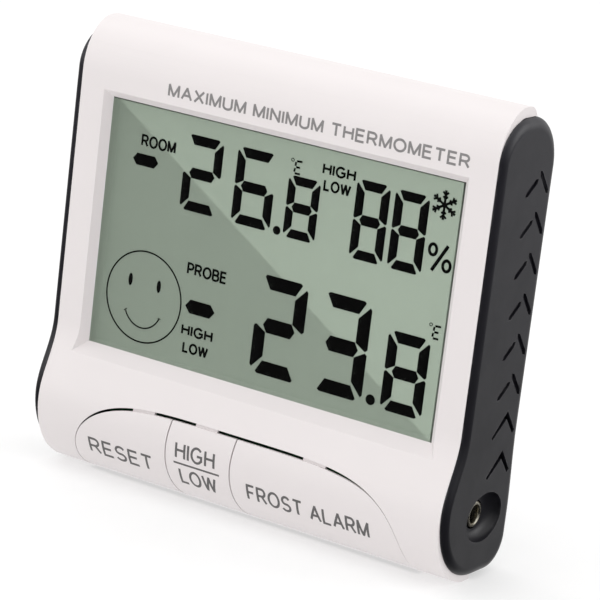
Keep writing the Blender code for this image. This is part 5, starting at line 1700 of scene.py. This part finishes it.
def area_light(name, place, side, strength):
    """A square soft light; strength is its brightness as seen in a mirror."""
    data = bpy.data.lights.new(name, "AREA")
    data.shape = "RECTANGLE"
    data.size = side
    data.size_y = side
    data.energy = strength * math.pi * side**2
    light = add_object(name, data)
    back = (Vector(place) - Vector(LIGHT_TARGET)).normalized()
    light.matrix_world = Matrix.Translation(place) @ back.to_track_quat("Z", "Y").to_matrix().to_4x4()
    light.visible_camera = False
    return light


def light_only(light, *names):
    """Lets a light fall on these objects only."""
    receivers = bpy.data.collections.new(light.name + "_receivers")
    for name in names:
        receivers.objects.link(bpy.data.objects[name])
    light.light_linking.receiver_collection = receivers


def make_side_fill():
    """A soft light from the picture's side that only the front shell and the keys receive."""
    light = area_light("side_fill", *SIDE_FILL)
    light.data.specular_factor = 0.0
    light_only(light, "front_sleeve", *(key + "_cap" for key in KEYS))


def make_window_light():
    """A far small light that falls on the display only, brighter above a straight diagonal edge."""
    ends = [Vector((x, BACK_LAYER_Y, z)) * MM for x, z in DIAGONAL]
    away = Vector(WINDOW_LIGHT_WAY).normalized()
    along = (ends[1] - ends[0]).normalized()
    across = away.cross(along).normalized()
    if across.z < 0:
        across, along = -across, -along
    data = bpy.data.lights.new("window_light", "POINT")
    data.shadow_soft_size = 0.0
    data.energy = 4 * math.pi**2 * WINDOW_LIGHT_DISTANCE**2
    data.use_nodes = True
    tree = data.node_tree
    split = new_node(tree, "ShaderNodeSeparateXYZ")
    tree.links.new(new_node(tree, "ShaderNodeTexCoord").outputs["Normal"], split.inputs["Vector"])
    wanted = (WINDOW_FILL, WINDOW_FILL + WINDOW_SHINE)
    edge = map_range(tree, split.outputs["Y"], (-DIAGONAL_BLUR, DIAGONAL_BLUR), wanted)
    tree.links.new(edge.outputs["Result"], tree.nodes["Emission"].inputs["Strength"])
    light = add_object("window_light", data)
    place = (ends[0] + ends[1]) / 2 + away * WINDOW_LIGHT_DISTANCE
    turn = Matrix((along, across, along.cross(across))).transposed().to_4x4()
    light.matrix_world = Matrix.Translation(place) @ turn
    light_only(light, "display_back")


def make_floor():
    shape = bmesh.new()
    bmesh.ops.create_grid(shape, x_segments=8, y_segments=8, size=3.0)
    floor = from_bmesh("floor", shape)
    floor.data.materials.append(paper_floor("paper"))
    floor.visible_glossy = False
    floor.visible_transmission = False


def make_world():
    """A bright studio; below the horizon only the side behind the case, a little to its left, is bright."""
    world = bpy.data.worlds.new("studio")
    world.use_nodes = True
    tree = world.node_tree
    way = new_node(tree, "ShaderNodeTexCoord").outputs["Generated"]

    def facing(side):
        product = new_node(tree, "ShaderNodeVectorMath", operation="DOT_PRODUCT")
        product.inputs[1].default_value = side
        tree.links.new(way, product.inputs[0])
        return product.outputs["Value"]

    split = new_node(tree, "ShaderNodeSeparateXYZ")
    tree.links.new(way, split.inputs["Vector"])
    low = map_range(tree, facing(BRIGHT_SIDE), BRIGHT_RANGE, (WORLD_LOW, WORLD_LOW_BACK))
    sky = map_range(tree, split.outputs["Z"], HORIZON, (WORLD_LOW, WORLD_HIGH))
    tree.links.new(low.outputs["Result"], sky.inputs["To Min"])
    # The side the picture is taken from is a darker part of the room.
    dim = map_range(
        tree, facing(CAMERA_SIDE), CAMERA_RANGE, (1.0, CAMERA_SIDE_DIM),
        interpolation_type="SMOOTHSTEP",
    )
    product = new_node(tree, "ShaderNodeMath", operation="MULTIPLY")
    tree.links.new(sky.outputs["Result"], product.inputs[0])
    tree.links.new(dim.outputs["Result"], product.inputs[1])
    background = tree.nodes["Background"]
    background.inputs["Color"].default_value = WORLD_COLOR
    tree.links.new(product.outputs["Value"], background.inputs["Strength"])
    bpy.context.scene.world = world


def make_stage():
    make_floor()
    make_world()
    for name, values in AREA_LIGHTS.items():
        area_light(name, *values)
    bpy.context.scene.view_settings.view_transform = "Standard"


def main():
    make_camera()
    make_stage()
    dress_cad_nodes()
    make_front_shell()
    for name, places in KEYS.items():
        make_key(name, *places)
    make_prints()
    make_display()
    make_window_light()
    make_side_fill()
    make_lens()
    make_rear_shell()
    make_door()
    make_stand()
    make_unit_button()
    for number in range(1, 5):
        make_screw(f"case_screw_{number}")
    make_jack()
    make_cell()
    make_spring()
    make_polarity()


main()
bpy.context.view_layer.update()
